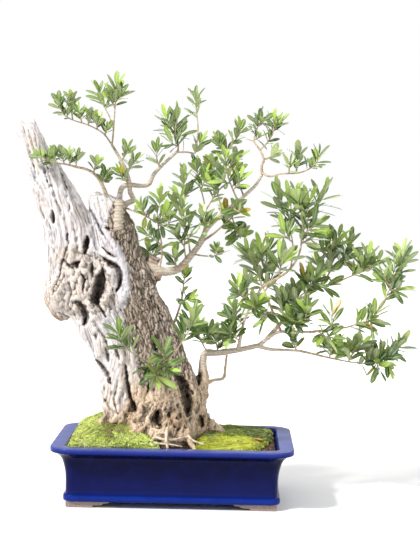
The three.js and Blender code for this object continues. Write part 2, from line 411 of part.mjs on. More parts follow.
// ---- Leafy sprays ----
// Each spray: name, leaf length, then its stems as [leaf pairs, base radius, points of the middle].
// The first stem starts inside its limb, and each later one inside a stem before it.
const SPRAYS = [
  { name: 'spray_crown_left', leaf: 15, stems: [
    [3, 1.5, [-95, 17, 511], [-105, 17, 526], [-113, 14, 536], [-124, 8, 543], [-138, 2, 549],
      [-158, -6, 555], [-169, -10, 562], [-175, -12, 572], [-176, -14, 580]],
    [3, 1.2, [-157, -6, 555], [-160, 0, 572], [-161, 4, 586]],
    [2, 1.2, [-144, 0, 551], [-147, -12, 566]],
    [2, 1.2, [-135, 3, 549], [-133, 12, 563]],
    [2, 1.2, [-122, 8, 542], [-122, 4, 554]],
    [2, 1.2, [-111, 15, 535], [-108, 8, 541]],
  ] },
  { name: 'spray_crown_top', leaf: 20, stems: [
    [4, 1.5, [-101, 20, 520], [-100, 22, 530], [-99, 25, 548], [-98, 28, 572], [-97, 30, 593],
      [-97, 31, 608]],
    [2, 1.2, [-98, 28, 575], [-106, 36, 589]],
    [2, 1.2, [-97, 29, 584], [-89, 22, 592]],
    [2, 1.2, [-100, 25, 545], [-107, 36, 563], [-119, 46, 584], [-124, 50, 599]],
  ] },
  { name: 'spray_crown_side', leaf: 17, stems: [
    [2, 1.5, [-87, 14, 496], [-79, 8, 507], [-77, 5, 512]],
  ] },
  { name: 'spray_crown_right', leaf: 17, stems: [
    [3, 1.5, [-78, 10, 477], [-72, 22, 489], [-67, 30, 498]],
  ] },
  { name: 'spray_crown_low', leaf: 14, stems: [
    [2, 1.5, [-74, 7, 464], [-83, 2, 471], [-87, -2, 478]],
  ] },
  { name: 'spray_arch_first', leaf: 22, stems: [
    [2, 1.5, [-29, 24, 487], [-34, 20, 500], [-34, 18, 512]],
  ] },
  { name: 'spray_arch_tip', leaf: 25, stems: [
    [4, 1.5, [-3, 30, 513], [-4, 34, 528], [-14, 38, 544], [-22, 40, 560]],
    [2, 1.2, [-8, 36, 535], [-7, 30, 550], [-5, 28, 562]],
    [2, 1.2, [-4, 34, 529], [3, 42, 543]],
    [1, 1.2, [-3, 32, 519], [-13, 20, 524]],
  ] },
  { name: 'spray_arch_right', leaf: 19, stems: [
    [3, 1.5, [-5, 30, 511], [12, 24, 511], [22, 22, 510], [28, 20, 520], [31, 18, 526]],
    [2, 1.2, [24, 22, 513], [26, 34, 548], [23, 42, 572], [22, 46, 588], [22, 47, 594]],
  ] },
  { name: 'spray_climbing', leaf: 18, stems: [
    [2, 1.5, [40, -4, 392], [41, 8, 417], [36, 14, 444], [29, 18, 467], [26, 20, 488]],
    [2, 1.2, [32, 16, 455], [38, 6, 470], [40, 2, 479]],
    [2, 1.2, [39, 10, 423], [49, 22, 441], [55, 28, 453], [51, 30, 462]],
  ] },
  { name: 'spray_through_left', leaf: 17, stems: [
    [3, 1.5, [-80, 0, 428], [-65, -14, 423], [-51, -20, 418], [-33, -26, 409], [-18, -30, 402]],
    [3, 1.2, [-46, -22, 415], [-50, -30, 424], [-52, -33, 429]],
    [3, 1.2, [-30, -27, 408], [-18, -36, 417], [-15, -38, 421]],
  ] },
  { name: 'spray_left_stem', leaf: 19, stems: [
    [4, 1.5, [-27, 0, 336], [-23, -10, 358], [-24, -18, 381], [-29, -10, 402], [-31, -2, 422],
      [-27, 2, 437], [-28, 3, 446]],
    [3, 1.2, [-23, -16, 374], [-36, -34, 385], [-43, -42, 388]],
    [2, 1.2, [-28, -12, 396], [-15, 0, 404], [-11, 6, 412]],
  ] },
  { name: 'spray_left_dark', leaf: 20, stems: [
    [3, 1.5, [-38, 2, 341], [-39, 24, 354], [-44, 30, 364]],
    [2, 1.2, [-40, 25, 356], [-28, 38, 364]],
  ] },
  { name: 'spray_mid_low', leaf: 20, stems: [
    [3, 1.5, [-2, 0, 338], [-3, -16, 354], [-2, -20, 361]],
  ] },
  { name: 'spray_mid_stem', leaf: 20, stems: [
    [4, 1.5, [13, 0, 350], [10, -14, 372], [11, -20, 392], [6, -22, 414], [6, -22, 429]],
    [3, 1.2, [11, -19, 388], [16, -8, 402], [15, -6, 410]],
    [2, 1.2, [10, -14, 373], [0, -30, 385], [-3, -33, 390]],
    [2, 1.2, [10, -17, 382], [22, -34, 389]],
  ] },
  { name: 'spray_mid_high', leaf: 20, stems: [
    [4, 1.5, [19, 0, 358], [15, 10, 381], [8, 14, 407], [8, 12, 433], [8, 10, 449], [7, 8, 465],
      [6, 6, 476]],
    [3, 1.2, [8, 11, 440], [13, 18, 452], [15, 20, 455]],
    [2, 1.2, [8, 14, 416], [-5, 26, 431], [-8, 28, 435]],
    [2, 1.2, [8, 12, 434], [-2, 2, 446]],
  ] },
  { name: 'spray_mid_right', leaf: 20, stems: [
    [3, 1.5, [37, -3, 386], [39, -26, 406], [37, -30, 418]],
    [2, 1.2, [39, -25, 405], [47, -32, 411]],
  ] },
  { name: 'spray_high_left', leaf: 20, stems: [
    [4, 1.5, [63, -12, 419], [61, -4, 438], [56, 2, 456], [53, 6, 476], [51, 8, 491]],
    [2, 1.2, [58, 0, 450], [48, -10, 462], [45, -12, 464]],
    [2, 1.2, [54, 5, 470], [62, 16, 482]],
    [2, 1.2, [52, 7, 482], [44, 16, 495]],
  ] },
  { name: 'spray_high_mid', leaf: 20, stems: [
    [4, 1.5, [87, -17, 441], [79, -22, 459], [72, -24, 477], [69, -24, 492], [68, -24, 503]],
    [3, 1.2, [80, -22, 456], [90, -34, 468], [91, -36, 474]],
    [3, 1.2, [75, -24, 471], [82, -10, 483], [84, -8, 489]],
    [2, 1.2, [75, -23, 466], [64, -36, 468]],
  ] },
  { name: 'spray_high_top', leaf: 19, stems: [
    [3, 1.5, [96, -20, 448], [87, 4, 468], [78, 14, 489], [72, 20, 509], [76, 24, 523], [84, 28, 533],
      [89, 30, 542], [89, 30, 548]],
    [3, 1.2, [72, 20, 506], [61, 14, 518], [57, 12, 527]],
    [2, 1.2, [76, 16, 493], [85, 26, 504]],
    [2, 1.2, [73, 21, 514], [68, 30, 520]],
  ] },
  { name: 'spray_low_inner', leaf: 17, stems: [
    [2, 1.5, [79, -15, 433], [86, -28, 426], [91, -32, 425]],
  ] },
  { name: 'spray_bare_tip', leaf: 11, stems: [
    [2, 1.5, [21, 0, 361], [42, -18, 359], [58, -26, 361], [57, -30, 370]],
    [0, 1.2, [57, -26, 361], [77, -38, 369]],
  ] },
  { name: 'spray_weave_left', leaf: 20, stems: [
    [3, 1.5, [119, -45, 307], [107, -56, 307], [97, -66, 303], [91, -70, 312], [88, -72, 320]],
    [3, 1.2, [104, -59, 306], [104, -48, 320], [101, -44, 327]],
  ] },
  { name: 'spray_weave_low', leaf: 18, stems: [
    [3, 1.5, [107, -36, 282], [115, -58, 292], [119, -62, 296]],
  ] },
  { name: 'spray_weave_foot', leaf: 20, stems: [
    [4, 1.5, [94, -9, 234], [85, -22, 243], [85, -26, 255]],
    [2, 1.2, [88, -19, 240], [77, -32, 248]],
  ] },
  { name: 'spray_weave_side', leaf: 17, stems: [
    [2, 1.5, [99, -24, 259], [88, -12, 271], [83, -6, 281]],
    [2, 1.2, [92, -19, 266], [78, -20, 269]],
  ] },
  { name: 'spray_rise_left', leaf: 18, stems: [
    [3, 1.5, [158, -7, 266], [156, 8, 283], [156, 12, 296]],
    [3, 1.2, [156, 6, 277], [165, 18, 289], [166, 20, 294]],
  ] },
  { name: 'spray_rise_back', leaf: 20, stems: [
    [3, 1.5, [173, -1, 281], [178, 22, 297], [175, 28, 308]],
    [2, 1.2, [177, 14, 290], [168, 34, 302]],
  ] },
  { name: 'spray_rise_mid', leaf: 22, stems: [
    [4, 1.5, [186, 4, 293], [193, -6, 318], [188, -10, 330]],
    [2, 1.2, [193, 0, 312], [201, -14, 324], [203, -16, 330]],
  ] },
  { name: 'spray_front_left', leaf: 19, stems: [
    [3, 1.5, [167, -27, 250], [168, -42, 265], [166, -46, 273]],
    [2, 1.2, [168, -37, 260], [176, -52, 268]],
  ] },
  { name: 'spray_front_mid', leaf: 18, stems: [
    [4, 1.5, [182, -32, 251], [186, -50, 268], [190, -56, 281], [190, -58, 287]],
    [3, 1.2, [185, -46, 263], [181, -38, 280], [181, -36, 285]],
  ] },
  { name: 'spray_back_left', leaf: 18, stems: [
    [2, 1.5, [180, 26, 217], [175, 22, 229], [174, 20, 236]],
  ] },
  { name: 'spray_fork', leaf: 17, stems: [
    [3, 1.5, [47, 10, 213], [40, -4, 227], [34, -10, 240], [32, -14, 253]],
    [2, 1.2, [38, -6, 230], [46, -20, 242], [50, -24, 248]],
    [2, 1.2, [35, -9, 237], [26, 2, 248]],
  ] },
  { name: 'spray_fork_right', leaf: 16, stems: [
    [3, 1.5, [62, 8, 214], [59, 24, 227], [54, 30, 237]],
    [2, 1.2, [60, 17, 222], [69, 28, 231], [70, 30, 237]],
  ] },
  { name: 'front_shoot', leaf: 24, stems: [
    [4, 1.5, [-31, -34, 190], [-29, -62, 197], [-40, -74, 208], [-57, -84, 220], [-69, -92, 232],
      [-76, -98, 246], [-80, -100, 254]],
    [5, 1.2, [-29, -62, 197], [-16, -76, 207], [-2, -86, 220], [10, -92, 237], [20, -96, 254],
      [27, -98, 272], [28, -99, 279]],
    [3, 1.2, [-29, -63, 197], [-26, -74, 191], [-24, -80, 186]],
    [2, 1.2, [-35, -68, 202], [-39, -84, 202]],
    [2, 1.2, [-20, -71, 204], [-8, -84, 200]],
    [2, 1.2, [-13, -78, 210], [-15, -90, 225]],
  ] },
  { name: 'branch_low_left', leaf: 14, stems: [
    [2, 3.4, [-101, 0, 430], [-110, -8, 456], [-120, -12, 473], [-133, -15, 482], [-150, -18, 486],
      [-167, -20, 490], [-183, -24, 491], [-193, -28, 497], [-201, -30, 501]],
    [2, 1.2, [-150, -18, 486], [-148, -22, 499]],
    [2, 1.2, [-167, -20, 490], [-171, -14, 502]],
    [1, 1.2, [-180, -23, 491], [-182, -30, 503]],
    [2, 1.2, [-159, -19, 488], [-159, -28, 502]],
    [3, 1.2, [-125, -13, 477], [-121, -14, 491]],
    [2, 1.2, [-112, -9, 460], [-107, -22, 471], [-105, -26, 475]],
  ] },
  { name: 'branch_side', leaf: 16, stems: [
    [2, 2.4, [-7, 14, 249], [1, 16, 272], [7, 17, 296], [9, 16, 317], [11, 12, 329]],
    [3, 1.2, [5, 17, 290], [13, 6, 292], [19, 0, 294]],
  ] },
  { name: 'branch_centre', leaf: 25, stems: [
    [4, 2.4, [154, -22, 250], [145, -14, 271], [136, -4, 292], [127, 6, 313], [119, 12, 331],
      [113, 16, 347], [105, 18, 364]],
    [3, 1.2, [122, 10, 325], [131, 22, 347], [132, 26, 362], [134, 28, 372]],
    [3, 1.2, [116, 14, 341], [123, 4, 358], [124, 0, 367]],
    [2, 1.2, [111, 16, 351], [100, 30, 356], [97, 34, 361]],
    [3, 1.2, [130, 3, 306], [138, 20, 323], [142, 26, 332]],
    [2, 1.2, [135, 14, 318], [127, 30, 325]],
    [4, 1.2, [142, -11, 278], [131, 6, 276], [123, 12, 277]],
    [2, 1.2, [135, 2, 277], [128, -8, 266]],
  ] },
  { name: 'branch_back', leaf: 19, stems: [
    [3, 2.6, [34, -1, 379], [47, 20, 387], [63, 36, 400], [79, 50, 415], [85, 54, 429]],
    [3, 1.2, [79, 50, 415], [85, 48, 400], [92, 44, 384], [93, 42, 392]],
    [2, 1.2, [85, 48, 402], [78, 54, 396]],
    [2, 1.2, [71, 43, 408], [70, 52, 426]],
  ] },
  { name: 'branch_crest', leaf: 27, stems: [
    [4, 2.4, [125, -48, 317], [139, -48, 326], [159, -44, 338], [173, -38, 355], [180, -34, 374],
      [181, -32, 394], [184, -30, 415], [189, -30, 432], [192, -30, 441]],
    [3, 1.2, [184, -30, 413], [176, -40, 435], [173, -44, 445]],
    [3, 1.2, [183, -31, 406], [199, -16, 429], [209, -8, 444], [214, -4, 453]],
    [2, 1.2, [181, -32, 391], [194, -46, 404], [199, -50, 408]],
    [3, 1.2, [181, -33, 381], [192, -22, 385], [198, -18, 388]],
    [4, 1.2, [166, -41, 346], [169, -28, 371], [166, -18, 394], [158, -10, 417], [149, -4, 437],
      [145, -2, 451]],
    [3, 1.2, [162, -14, 405], [165, -22, 432], [162, -24, 446]],
    [2, 1.2, [168, -23, 382], [157, -38, 391], [154, -42, 396]],
    [3, 1.2, [149, -46, 332], [151, -60, 350], [151, -64, 360]],
    [2, 1.2, [151, -60, 350], [160, -54, 359]],
  ] },
  { name: 'branch_back_end', leaf: 21, stems: [
    [3, 2.2, [185, 28, 217], [212, 38, 210], [237, 46, 204], [262, 52, 199], [280, 54, 197],
      [296, 56, 199], [308, 58, 207], [307, 58, 214]],
    [4, 1.2, [230, 44, 206], [234, 42, 218], [235, 40, 227]],
    [2, 1.2, [233, 43, 215], [225, 50, 221]],
    [4, 1.2, [259, 51, 199], [265, 52, 211], [266, 52, 219]],
    [3, 1.2, [263, 52, 208], [274, 60, 220], [280, 64, 224]],
    [2, 1.2, [263, 52, 207], [252, 42, 217]],
    [3, 1.2, [301, 57, 203], [304, 50, 194], [307, 46, 188]],
    [3, 1.2, [304, 57, 205], [320, 64, 212], [336, 70, 220], [342, 72, 226]],
    [2, 1.2, [286, 55, 198], [293, 66, 207]],
    [2, 1.2, [308, 58, 207], [317, 48, 202], [320, 44, 195]],
  ] },
  { name: 'branch_front_end', leaf: 24, stems: [
    [3, 2.2, [196, -38, 252], [224, -48, 257], [249, -56, 262], [266, -60, 269], [278, -62, 272],
      [283, -63, 275], [289, -64, 284]],
    [5, 1.2, [227, -49, 257], [226, -56, 270], [226, -60, 281]],
    [2, 1.2, [207, -42, 254], [217, -54, 248], [224, -58, 246]],
    [5, 1.2, [283, -63, 275], [291, -70, 290], [301, -76, 308], [308, -78, 327], [310, -78, 341],
      [314, -78, 353]],
    [3, 1.2, [307, -78, 330], [321, -70, 344], [325, -66, 358], [325, -64, 369]],
    [3, 1.2, [306, -78, 323], [299, -86, 333], [296, -88, 337]],
    [2, 1.2, [305, -77, 318], [314, -84, 319], [318, -86, 318]],
    [2, 1.2, [280, -62, 273], [285, -56, 264]],
  ] },
  { name: 'branch_rise_end', leaf: 22, stems: [
    [4, 2.4, [195, 8, 303], [213, 12, 319], [226, 16, 337], [229, 18, 355], [227, 20, 373],
      [224, 20, 384]],
    [3, 1.2, [214, 12, 321], [212, 28, 338], [209, 32, 348]],
    [2, 1.2, [213, 22, 330], [220, 36, 342]],
    [2, 1.2, [209, 11, 315], [223, 0, 317]],
    [4, 1.2, [227, 17, 343], [243, 24, 356], [253, 28, 370], [256, 30, 382]],
    [3, 1.2, [228, 19, 361], [216, 8, 367], [212, 4, 370]],
    [2, 1.2, [244, 24, 358], [249, 12, 353], [251, 10, 350]],
    [2, 1.2, [228, 20, 370], [235, 12, 380], [237, 10, 388]],
    [4, 1.6, [222, 15, 331], [233, 2, 322], [250, -6, 330], [267, -12, 338], [278, -16, 344],
      [279, -20, 358], [280, -22, 364]],
    [3, 1.2, [270, -13, 339], [270, -24, 352], [268, -26, 356]],
    [2, 1.2, [277, -16, 343], [291, -6, 348], [294, -4, 353]],
  ] },
  { name: 'branch_up_end', leaf: 17, stems: [
    [1, 2.2, [122, -30, 479], [121, -32, 492], [124, -32, 501], [118, -28, 515], [109, -22, 528],
      [112, -16, 540], [115, -12, 552], [115, -10, 560]],
    [4, 1.2, [118, -28, 515], [128, -36, 525], [136, -42, 539], [137, -46, 551], [137, -48, 556]],
    [2, 1.2, [137, -44, 544], [145, -34, 550], [146, -32, 556]],
    [2, 1.2, [114, -12, 550], [123, -22, 557]],
    [2, 1.2, [124, -32, 501], [134, -22, 505], [139, -18, 508]],
    [1, 1.2, [110, -21, 530], [118, -14, 534]],
    [0, 1.2, [109, -22, 528], [98, -16, 531]],
    [3, 1.8, [122, -30, 482], [133, -38, 477], [150, -44, 481], [170, -48, 482], [182, -50, 485],
      [191, -54, 490], [200, -58, 499], [202, -60, 508]],
    [3, 1.2, [170, -48, 482], [173, -42, 498], [173, -38, 511]],
    [2, 1.2, [160, -46, 482], [161, -56, 494]],
  ] },
];

const STEM_TIP = 0.8; // radius at a stem's tip
const LEAF_THICK = 1.1;
const LEAF_CLEAR = 0.5; // least distance between leaves and other sprays
const OWN_CLEAR = 0.55; // spacing of leaves in one spray, as a part of their half widths
const MAIN_PART = 0.5; // part of a stem's pairs that give one leaf to the solid
const TRIES = 7;

// Numbers from 0 to 1 by a linear congruential rule, the same for a given seed.
function seeded(seed) {
  let state = seed;
  return () => {
    state = (state * 1664525 + 1013904223) % 4294967296;
    return state / 4294967296;
  };
}

const vector = ([x, y, z]) => new THREE.Vector3(x, y, z);
const DEPTH_AXIS = vector([0, 1, 0]);
const WIDTH_AXIS = vector([1, 0, 0]);
const mix = (a, b, t) => a + (b - a) * t;
const clamp = (value, low, high) => Math.min(high, Math.max(low, value));

// A level-headed direction square to a stem.
function squareTo(way) {
  const helper = Math.abs(way.y) < 0.8 ? DEPTH_AXIS : WIDTH_AXIS;
  return new THREE.Vector3().crossVectors(way, helper).normalize();
}

// Squared distance between two straight segments.
function segmentDistanceSq(p, q, r, s) {
  const a = new THREE.Vector3().subVectors(q, p);
  const b = new THREE.Vector3().subVectors(s, r);
  const c = new THREE.Vector3().subVectors(p, r);
  const aa = a.dot(a);
  const bb = b.dot(b);
  const ab = a.dot(b);
  const ac = a.dot(c);
  const bc = b.dot(c);
  const spread = aa * bb - ab * ab;
  let t = spread > 1e-9 ? clamp((ab * bc - ac * bb) / spread, 0, 1) : 0;
  const u = clamp((ab * t + bc) / bb, 0, 1);
  t = clamp((ab * u - ac) / aa, 0, 1);
  return c.addScaledVector(a, t).addScaledVector(b, -u).lengthSq();
}

// Segments with a radius that leaves keep clear of; those of the spray itself carry its name.
const obstacles = [];

function addObstacle(owner, from, to, radius, isOuter = false) {
  const middle = from.clone().lerp(to, 0.5);
  obstacles.push({ owner, from, to, radius, middle, half: from.distanceTo(to) / 2, isOuter });
}

// Whether a stretch of leaf keeps clear. In its own spray only the outer halves of two leaves are
// kept apart, and they may lie closer.
function isClear(owner, from, to, radius, isOuter) {
  const middle = from.clone().lerp(to, 0.5);
  const half = from.distanceTo(to) / 2;
  for (const other of obstacles) {
    const isOwn = other.owner === owner;
    const near = isOwn ? (radius + other.radius) * OWN_CLEAR : radius + other.radius + LEAF_CLEAR;
    const counts = !isOwn || (isOuter && other.isOuter);
    if (counts && middle.distanceTo(other.middle) < near + half + other.half) {
      if (segmentDistanceSq(from, to, other.from, other.to) < near * near) {
        return false;
      }
    }
  }
  return true;
}

// Point and direction on a line of points, at a distance back from its end.
function backFromEnd(points, distance) {
  let left = distance;
  for (let i = points.length - 1; i > 0; i -= 1) {
    const step = points[i].distanceTo(points[i - 1]);
    if (left <= step || i === 1) {
      const way = new THREE.Vector3().subVectors(points[i], points[i - 1]).divideScalar(step);
      return { point: points[i].clone().addScaledVector(way, -Math.min(left, step)), way };
    }
    left -= step;
  }
  return null;
}

function lineLength(points) {
  let total = 0;
  for (let i = 1; i < points.length; i += 1) {
    total += points[i].distanceTo(points[i - 1]);
  }
  return total;
}

// Half width of a leaf as a part of its length: short leaves of the old crown are rounder.
const leafSlimness = (length) => clamp(0.31 - length * 0.00725, 0.125, 0.21);

// Leaves of one stem: one at the tip, then pairs at right angles to the pair before. A leaf that
// would meet another spray is turned round the stem and bent up, or left out after TRIES turns.
function growLeaves(owner, stem, length, random) {
  const [pairs, , ...line] = stem;
  const points = line.map(vector);
  const total = lineLength(points);
  const turn = random() * Math.PI;
  const leaves = [];
  const wanted = pairs > 0 ? 2 * pairs + 1 : 0;
  for (let k = 0; k < wanted; k += 1) {
    const pair = Math.ceil(k / 2);
    const back = pair === 0 ? 0 : (pair - 0.2) * length * 0.24;
    const long = length * (pair === 0 ? 0.8 : mix(0.86, 1.06, random())) * mix(0.92, 1.06, random());
    const spreadAngle = pair === 0 ? 0.12 : Math.min(0.55 + pair * 0.17, 1.2) + mix(-0.12, 0.12, random());
    const droop = mix(0.04, 0.16, random());
    const roll = mix(-0.35, 0.35, random());
    const isEnd = pair === 0;
    const isMain = !isEnd && k % 2 === pair % 2 && pair <= pairs * MAIN_PART;
    if (back > total - 1.5) {
      continue;
    }
    const { point, way } = backFromEnd(points, back);
    const across = squareTo(way);
    const upright = new THREE.Vector3().crossVectors(across, way).normalize();
    for (let attempt = 0; attempt < TRIES; attempt += 1) {
      const angle = turn + pair * Math.PI / 2 + (k % 2) * Math.PI + attempt * 0.62;
      const lean = spreadAngle + (pair === 0 ? attempt * 0.16 : -attempt * 0.05);
      const out = across.clone().multiplyScalar(Math.cos(angle)).addScaledVector(upright, Math.sin(angle));
      const along = way.clone().multiplyScalar(Math.cos(lean)).addScaledVector(out, Math.sin(lean));
      along.z += 0.12;
      along.normalize();
      const inward = way.clone().multiplyScalar(0.7);
      inward.z += 0.75;
      inward.addScaledVector(out, -0.25);
      inward.addScaledVector(along, -inward.dot(along)).normalize();
      const side = new THREE.Vector3().crossVectors(along, inward);
      inward.addScaledVector(side, roll).normalize();
      const start = point.clone().addScaledVector(along, long * 0.16);
      const waist = point.clone().addScaledVector(along, long * 0.6);
      waist.addScaledVector(inward, -droop * long * 0.3);
      const end = point.clone().addScaledVector(along, long).addScaledVector(inward, -droop * long);
      const half = long * leafSlimness(length);
      if (isClear(owner, start, waist, half, false) && isClear(owner, waist, end, half * 0.8, true)) {
        leaves.push({ point, along, face: inward, long, half, droop, isEnd, isMain, start, waist, end });
        break;
      }
    }
  }
  return leaves;
}

// A closed body swept through stations of three corners: left, right and keel.
// Each station: centre, direction of the right edge, direction of the upper face, half width, thickness.
// A station of no width is a point.
function sweep(stations) {
  const corners = [];
  const rows = [];
  for (const { centre, side, face, half, thick } of stations) {
    const first = corners.length / 3;
    if (half === 0) {
      corners.push(...centre);
      rows.push([first, first, first]);
    } else {
      corners.push(...centre.clone().addScaledVector(side, -half));
      corners.push(...centre.clone().addScaledVector(side, half));
      corners.push(...centre.clone().addScaledVector(face, -thick));
      rows.push([first, first + 1, first + 2]);
    }
  }
  const faces = [...rows[0]];
  for (let row = 1; row < rows.length; row += 1) {
    for (let corner = 0; corner < 3; corner += 1) {
      const next = (corner + 1) % 3;
      const [a, b] = [rows[row - 1][corner], rows[row - 1][next]];
      const [c, d] = [rows[row][corner], rows[row][next]];
      faces.push(a, c, b);
      if (c !== d) {
        faces.push(b, c, d);
      }
    }
  }
  const [a, b, c] = rows[rows.length - 1];
  if (a !== b) {
    faces.push(c, b, a);
  }
  const geometry = new THREE.BufferGeometry();
  geometry.setAttribute('position', new THREE.Float32BufferAttribute(corners, 3));
  geometry.setIndex(faces);
  return solid(geometry);
}

// Stations of a leaf blade: part of the length, part of the half width, part of the thickness.
const ROOT_HALF = 0.4;
const BLADE_STATIONS = [[0.46, 1.08, 1], [1, 0, 0]];

function bladeStations({ point, along, face, long, half, droop }, shape) {
  const side = new THREE.Vector3().crossVectors(face, along).normalize();
  return shape.map(([part, width, thick]) => {
    const centre = point.clone().addScaledVector(along, part * long);
    centre.addScaledVector(face, -droop * long * part * part);
    return { centre, side, face, half: width * half, thick: thick * LEAF_THICK };
  });
}

function blade(leaf) {
  const stations = bladeStations(leaf, BLADE_STATIONS);
  const { side, face } = stations[0];
  const centre = leaf.point.clone().addScaledVector(face, ROOT_HALF / 2);
  return sweep([{ centre, side, face, half: ROOT_HALF, thick: ROOT_HALF * 1.3 }, ...stations]);
}

// A stem is a tapered three-edged rod that bends at each of its points. Its end leaf grows out of
// the rod's own end.
function stemBody([, base, ...line], endLeaf) {
  const points = line.map(vector);
  const last = points.length - 1;
  const stations = [];
  let side = endLeaf ? new THREE.Vector3().crossVectors(endLeaf.face, endLeaf.along) : null;
  for (let row = last; row >= 0; row -= 1) {
    const before = points[Math.max(row - 1, 0)];
    const after = points[Math.min(row + 1, last)];
    const way = new THREE.Vector3().subVectors(after, before).normalize();
    side = side ? side.clone().addScaledVector(way, -side.dot(way)).normalize() : squareTo(way);
    const face = new THREE.Vector3().crossVectors(way, side);
    const radius = mix(base, STEM_TIP, row / last);
    const centre = points[row].clone().addScaledVector(face, radius * 0.6);
    stations.unshift({ centre, side, face, half: radius, thick: radius * 1.7 });
  }
  if (!endLeaf) {
    return sweep(stations);
  }
  return sweep([...stations, ...bladeStations(endLeaf, BLADE_STATIONS)]);
}

for (const [base, tip, ...line] of Object.values(LIMBS)) {
  for (let i = 1; i < line.length; i += 1) {
    addObstacle('trunk', vector(line[i - 1]), vector(line[i]), Math.max(mix(base, tip, i / line.length), 1));
  }
}
for (const { name, stems } of SPRAYS) {
  for (const [, base, ...line] of stems) {
    for (let i = 1; i < line.length; i += 1) {
      addObstacle(name, vector(line[i - 1]), vector(line[i]), base);
    }
  }
}

function buildSpray({ name, leaf, stems }, order, cutter) {
  const random = seeded(1000 + order * 77);
  const parts = [];
  for (const stem of stems) {
    const leaves = growLeaves(name, stem, leaf, random);
    parts.push(stemBody(stem, leaves.find((one) => one.isEnd)));
    for (const one of leaves) {
      addObstacle(name, one.start, one.waist, one.half);
      addObstacle(name, one.waist, one.end, one.half * 0.8, true);
      if (one.isMain) {
        parts.push(blade(one));
      }
    }
  }
  return mainBody(join(parts).subtract(cutter));
}

// ---- Assembly ----
const trunkCutter = buildTrunk(GAP);
const soilBody = soilBlock();
const lift = [0, 0, GAP];
const groundCutter = soilBody.translate(lift);
const screens = [-1, 1].map(buildScreen);
const pockets = [-1, 1].map((sideX) => {
  const room = new THREE.BoxGeometry(SCREEN.side + 1, SCREEN.side + 1, SCREEN.thick + 2);
  room.translate(sideX * DRAIN_X, 0, FLOOR_TOP + GAP * 2 + SCREEN.thick / 2 - 1);
  return solid(room);
});
const pebbles = PEBBLES.map((one) => pebble(...one).subtract(groundCutter));
const mossRoom = trayBlock(MOSS_BOUNDS);

function buildMoss(cushions) {
  const body = join(cushions.map((one) => cushion(...one)));
  return mainBody(body.intersect(mossRoom).subtract(groundCutter).subtract(trunkCutter));
}

const mossLeft = buildMoss(MOSS_LEFT);
const mossRight = buildMoss(MOSS_RIGHT);

// Grass and the fallen leaf stand on the right moss and are cut level with its top.
function onMoss(body) {
  return mainBody(body.subtract(mossRight.translate(lift)).subtract(groundCutter));
}

function buildGrass() {
  const random = seeded(51);
  const [x, y] = GRASS.at;
  const crown = new THREE.SphereGeometry(GRASS.crown, 5, 4);
  const height = soilTop(x, y) + GRASS.rise;
  crown.translate(x, y, height);
  const parts = [solid(crown)];
  for (let i = 0; i < GRASS.blades; i += 1) {
    const angle = (i * 2 * Math.PI) / GRASS.blades + random() * 0.4;
    const lean = mix(0.25, 0.8, random());
    const out = new THREE.Vector3(Math.cos(angle), Math.sin(angle), 0);
    const along = new THREE.Vector3(0, 0, Math.cos(lean)).addScaledVector(out, Math.sin(lean));
    const face = out.clone().multiplyScalar(-Math.cos(lean));
    face.z = Math.sin(lean);
    const long = mix(...GRASS.lengths, random());
    const point = new THREE.Vector3(x, y, height);
    parts.push(blade({ point, along, face, long, half: GRASS.half, droop: 0.2 }));
  }
  return join(parts);
}

function buildFallenLeaf() {
  const [x, y] = FALLEN_LEAF.at;
  const point = new THREE.Vector3(x, y, soilTop(x, y) + FALLEN_LEAF.rise);
  const along = new THREE.Vector3(0.9, -0.4, -0.06).normalize();
  const face = new THREE.Vector3(0, 0, 1);
  return blade({ point, along, face, long: FALLEN_LEAF.long, half: FALLEN_LEAF.half, droop: 0.04 });
}

addPiece('pot', buildPot(), FINISH.glaze);
addPiece('drain_screen_left', screens[0], FINISH.mesh);
addPiece('drain_screen_right', screens[1], FINISH.mesh);
addPiece('soil', mainBody(soilBody.subtract(join(pockets)).subtract(trunkCutter)), FINISH.soil);
addPiece('trunk', buildTrunk(0), FINISH.bark);
addPiece('moss_left', mossLeft, FINISH.moss);
addPiece('moss_right', mossRight, FINISH.darkMoss);
addPiece('grass_tuft', onMoss(buildGrass()), FINISH.moss);
addPiece('fallen_leaf', onMoss(buildFallenLeaf()), FINISH.deadLeaf);
pebbles.forEach((body, i) => addPiece(`pebble_${i + 1}`, body, FINISH.stone));
SPRAYS.forEach((spray, order) => addPiece(spray.name, buildSpray(spray, order, trunkCutter), FINISH.leaf));

// The origin goes under the middle of the whole object.
const bounds = new THREE.Box3().setFromObject(group);
group.position.set(-(bounds.min.x + bounds.max.x) / 2, -(bounds.min.y + bounds.max.y) / 2, -bounds.min.z);
group.updateMatrixWorld(true);

export default group;
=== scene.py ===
import math
import random
from collections import namedtuple

import bmesh
import bpy
import numpy as np
from mathutils import Matrix, Vector, noise


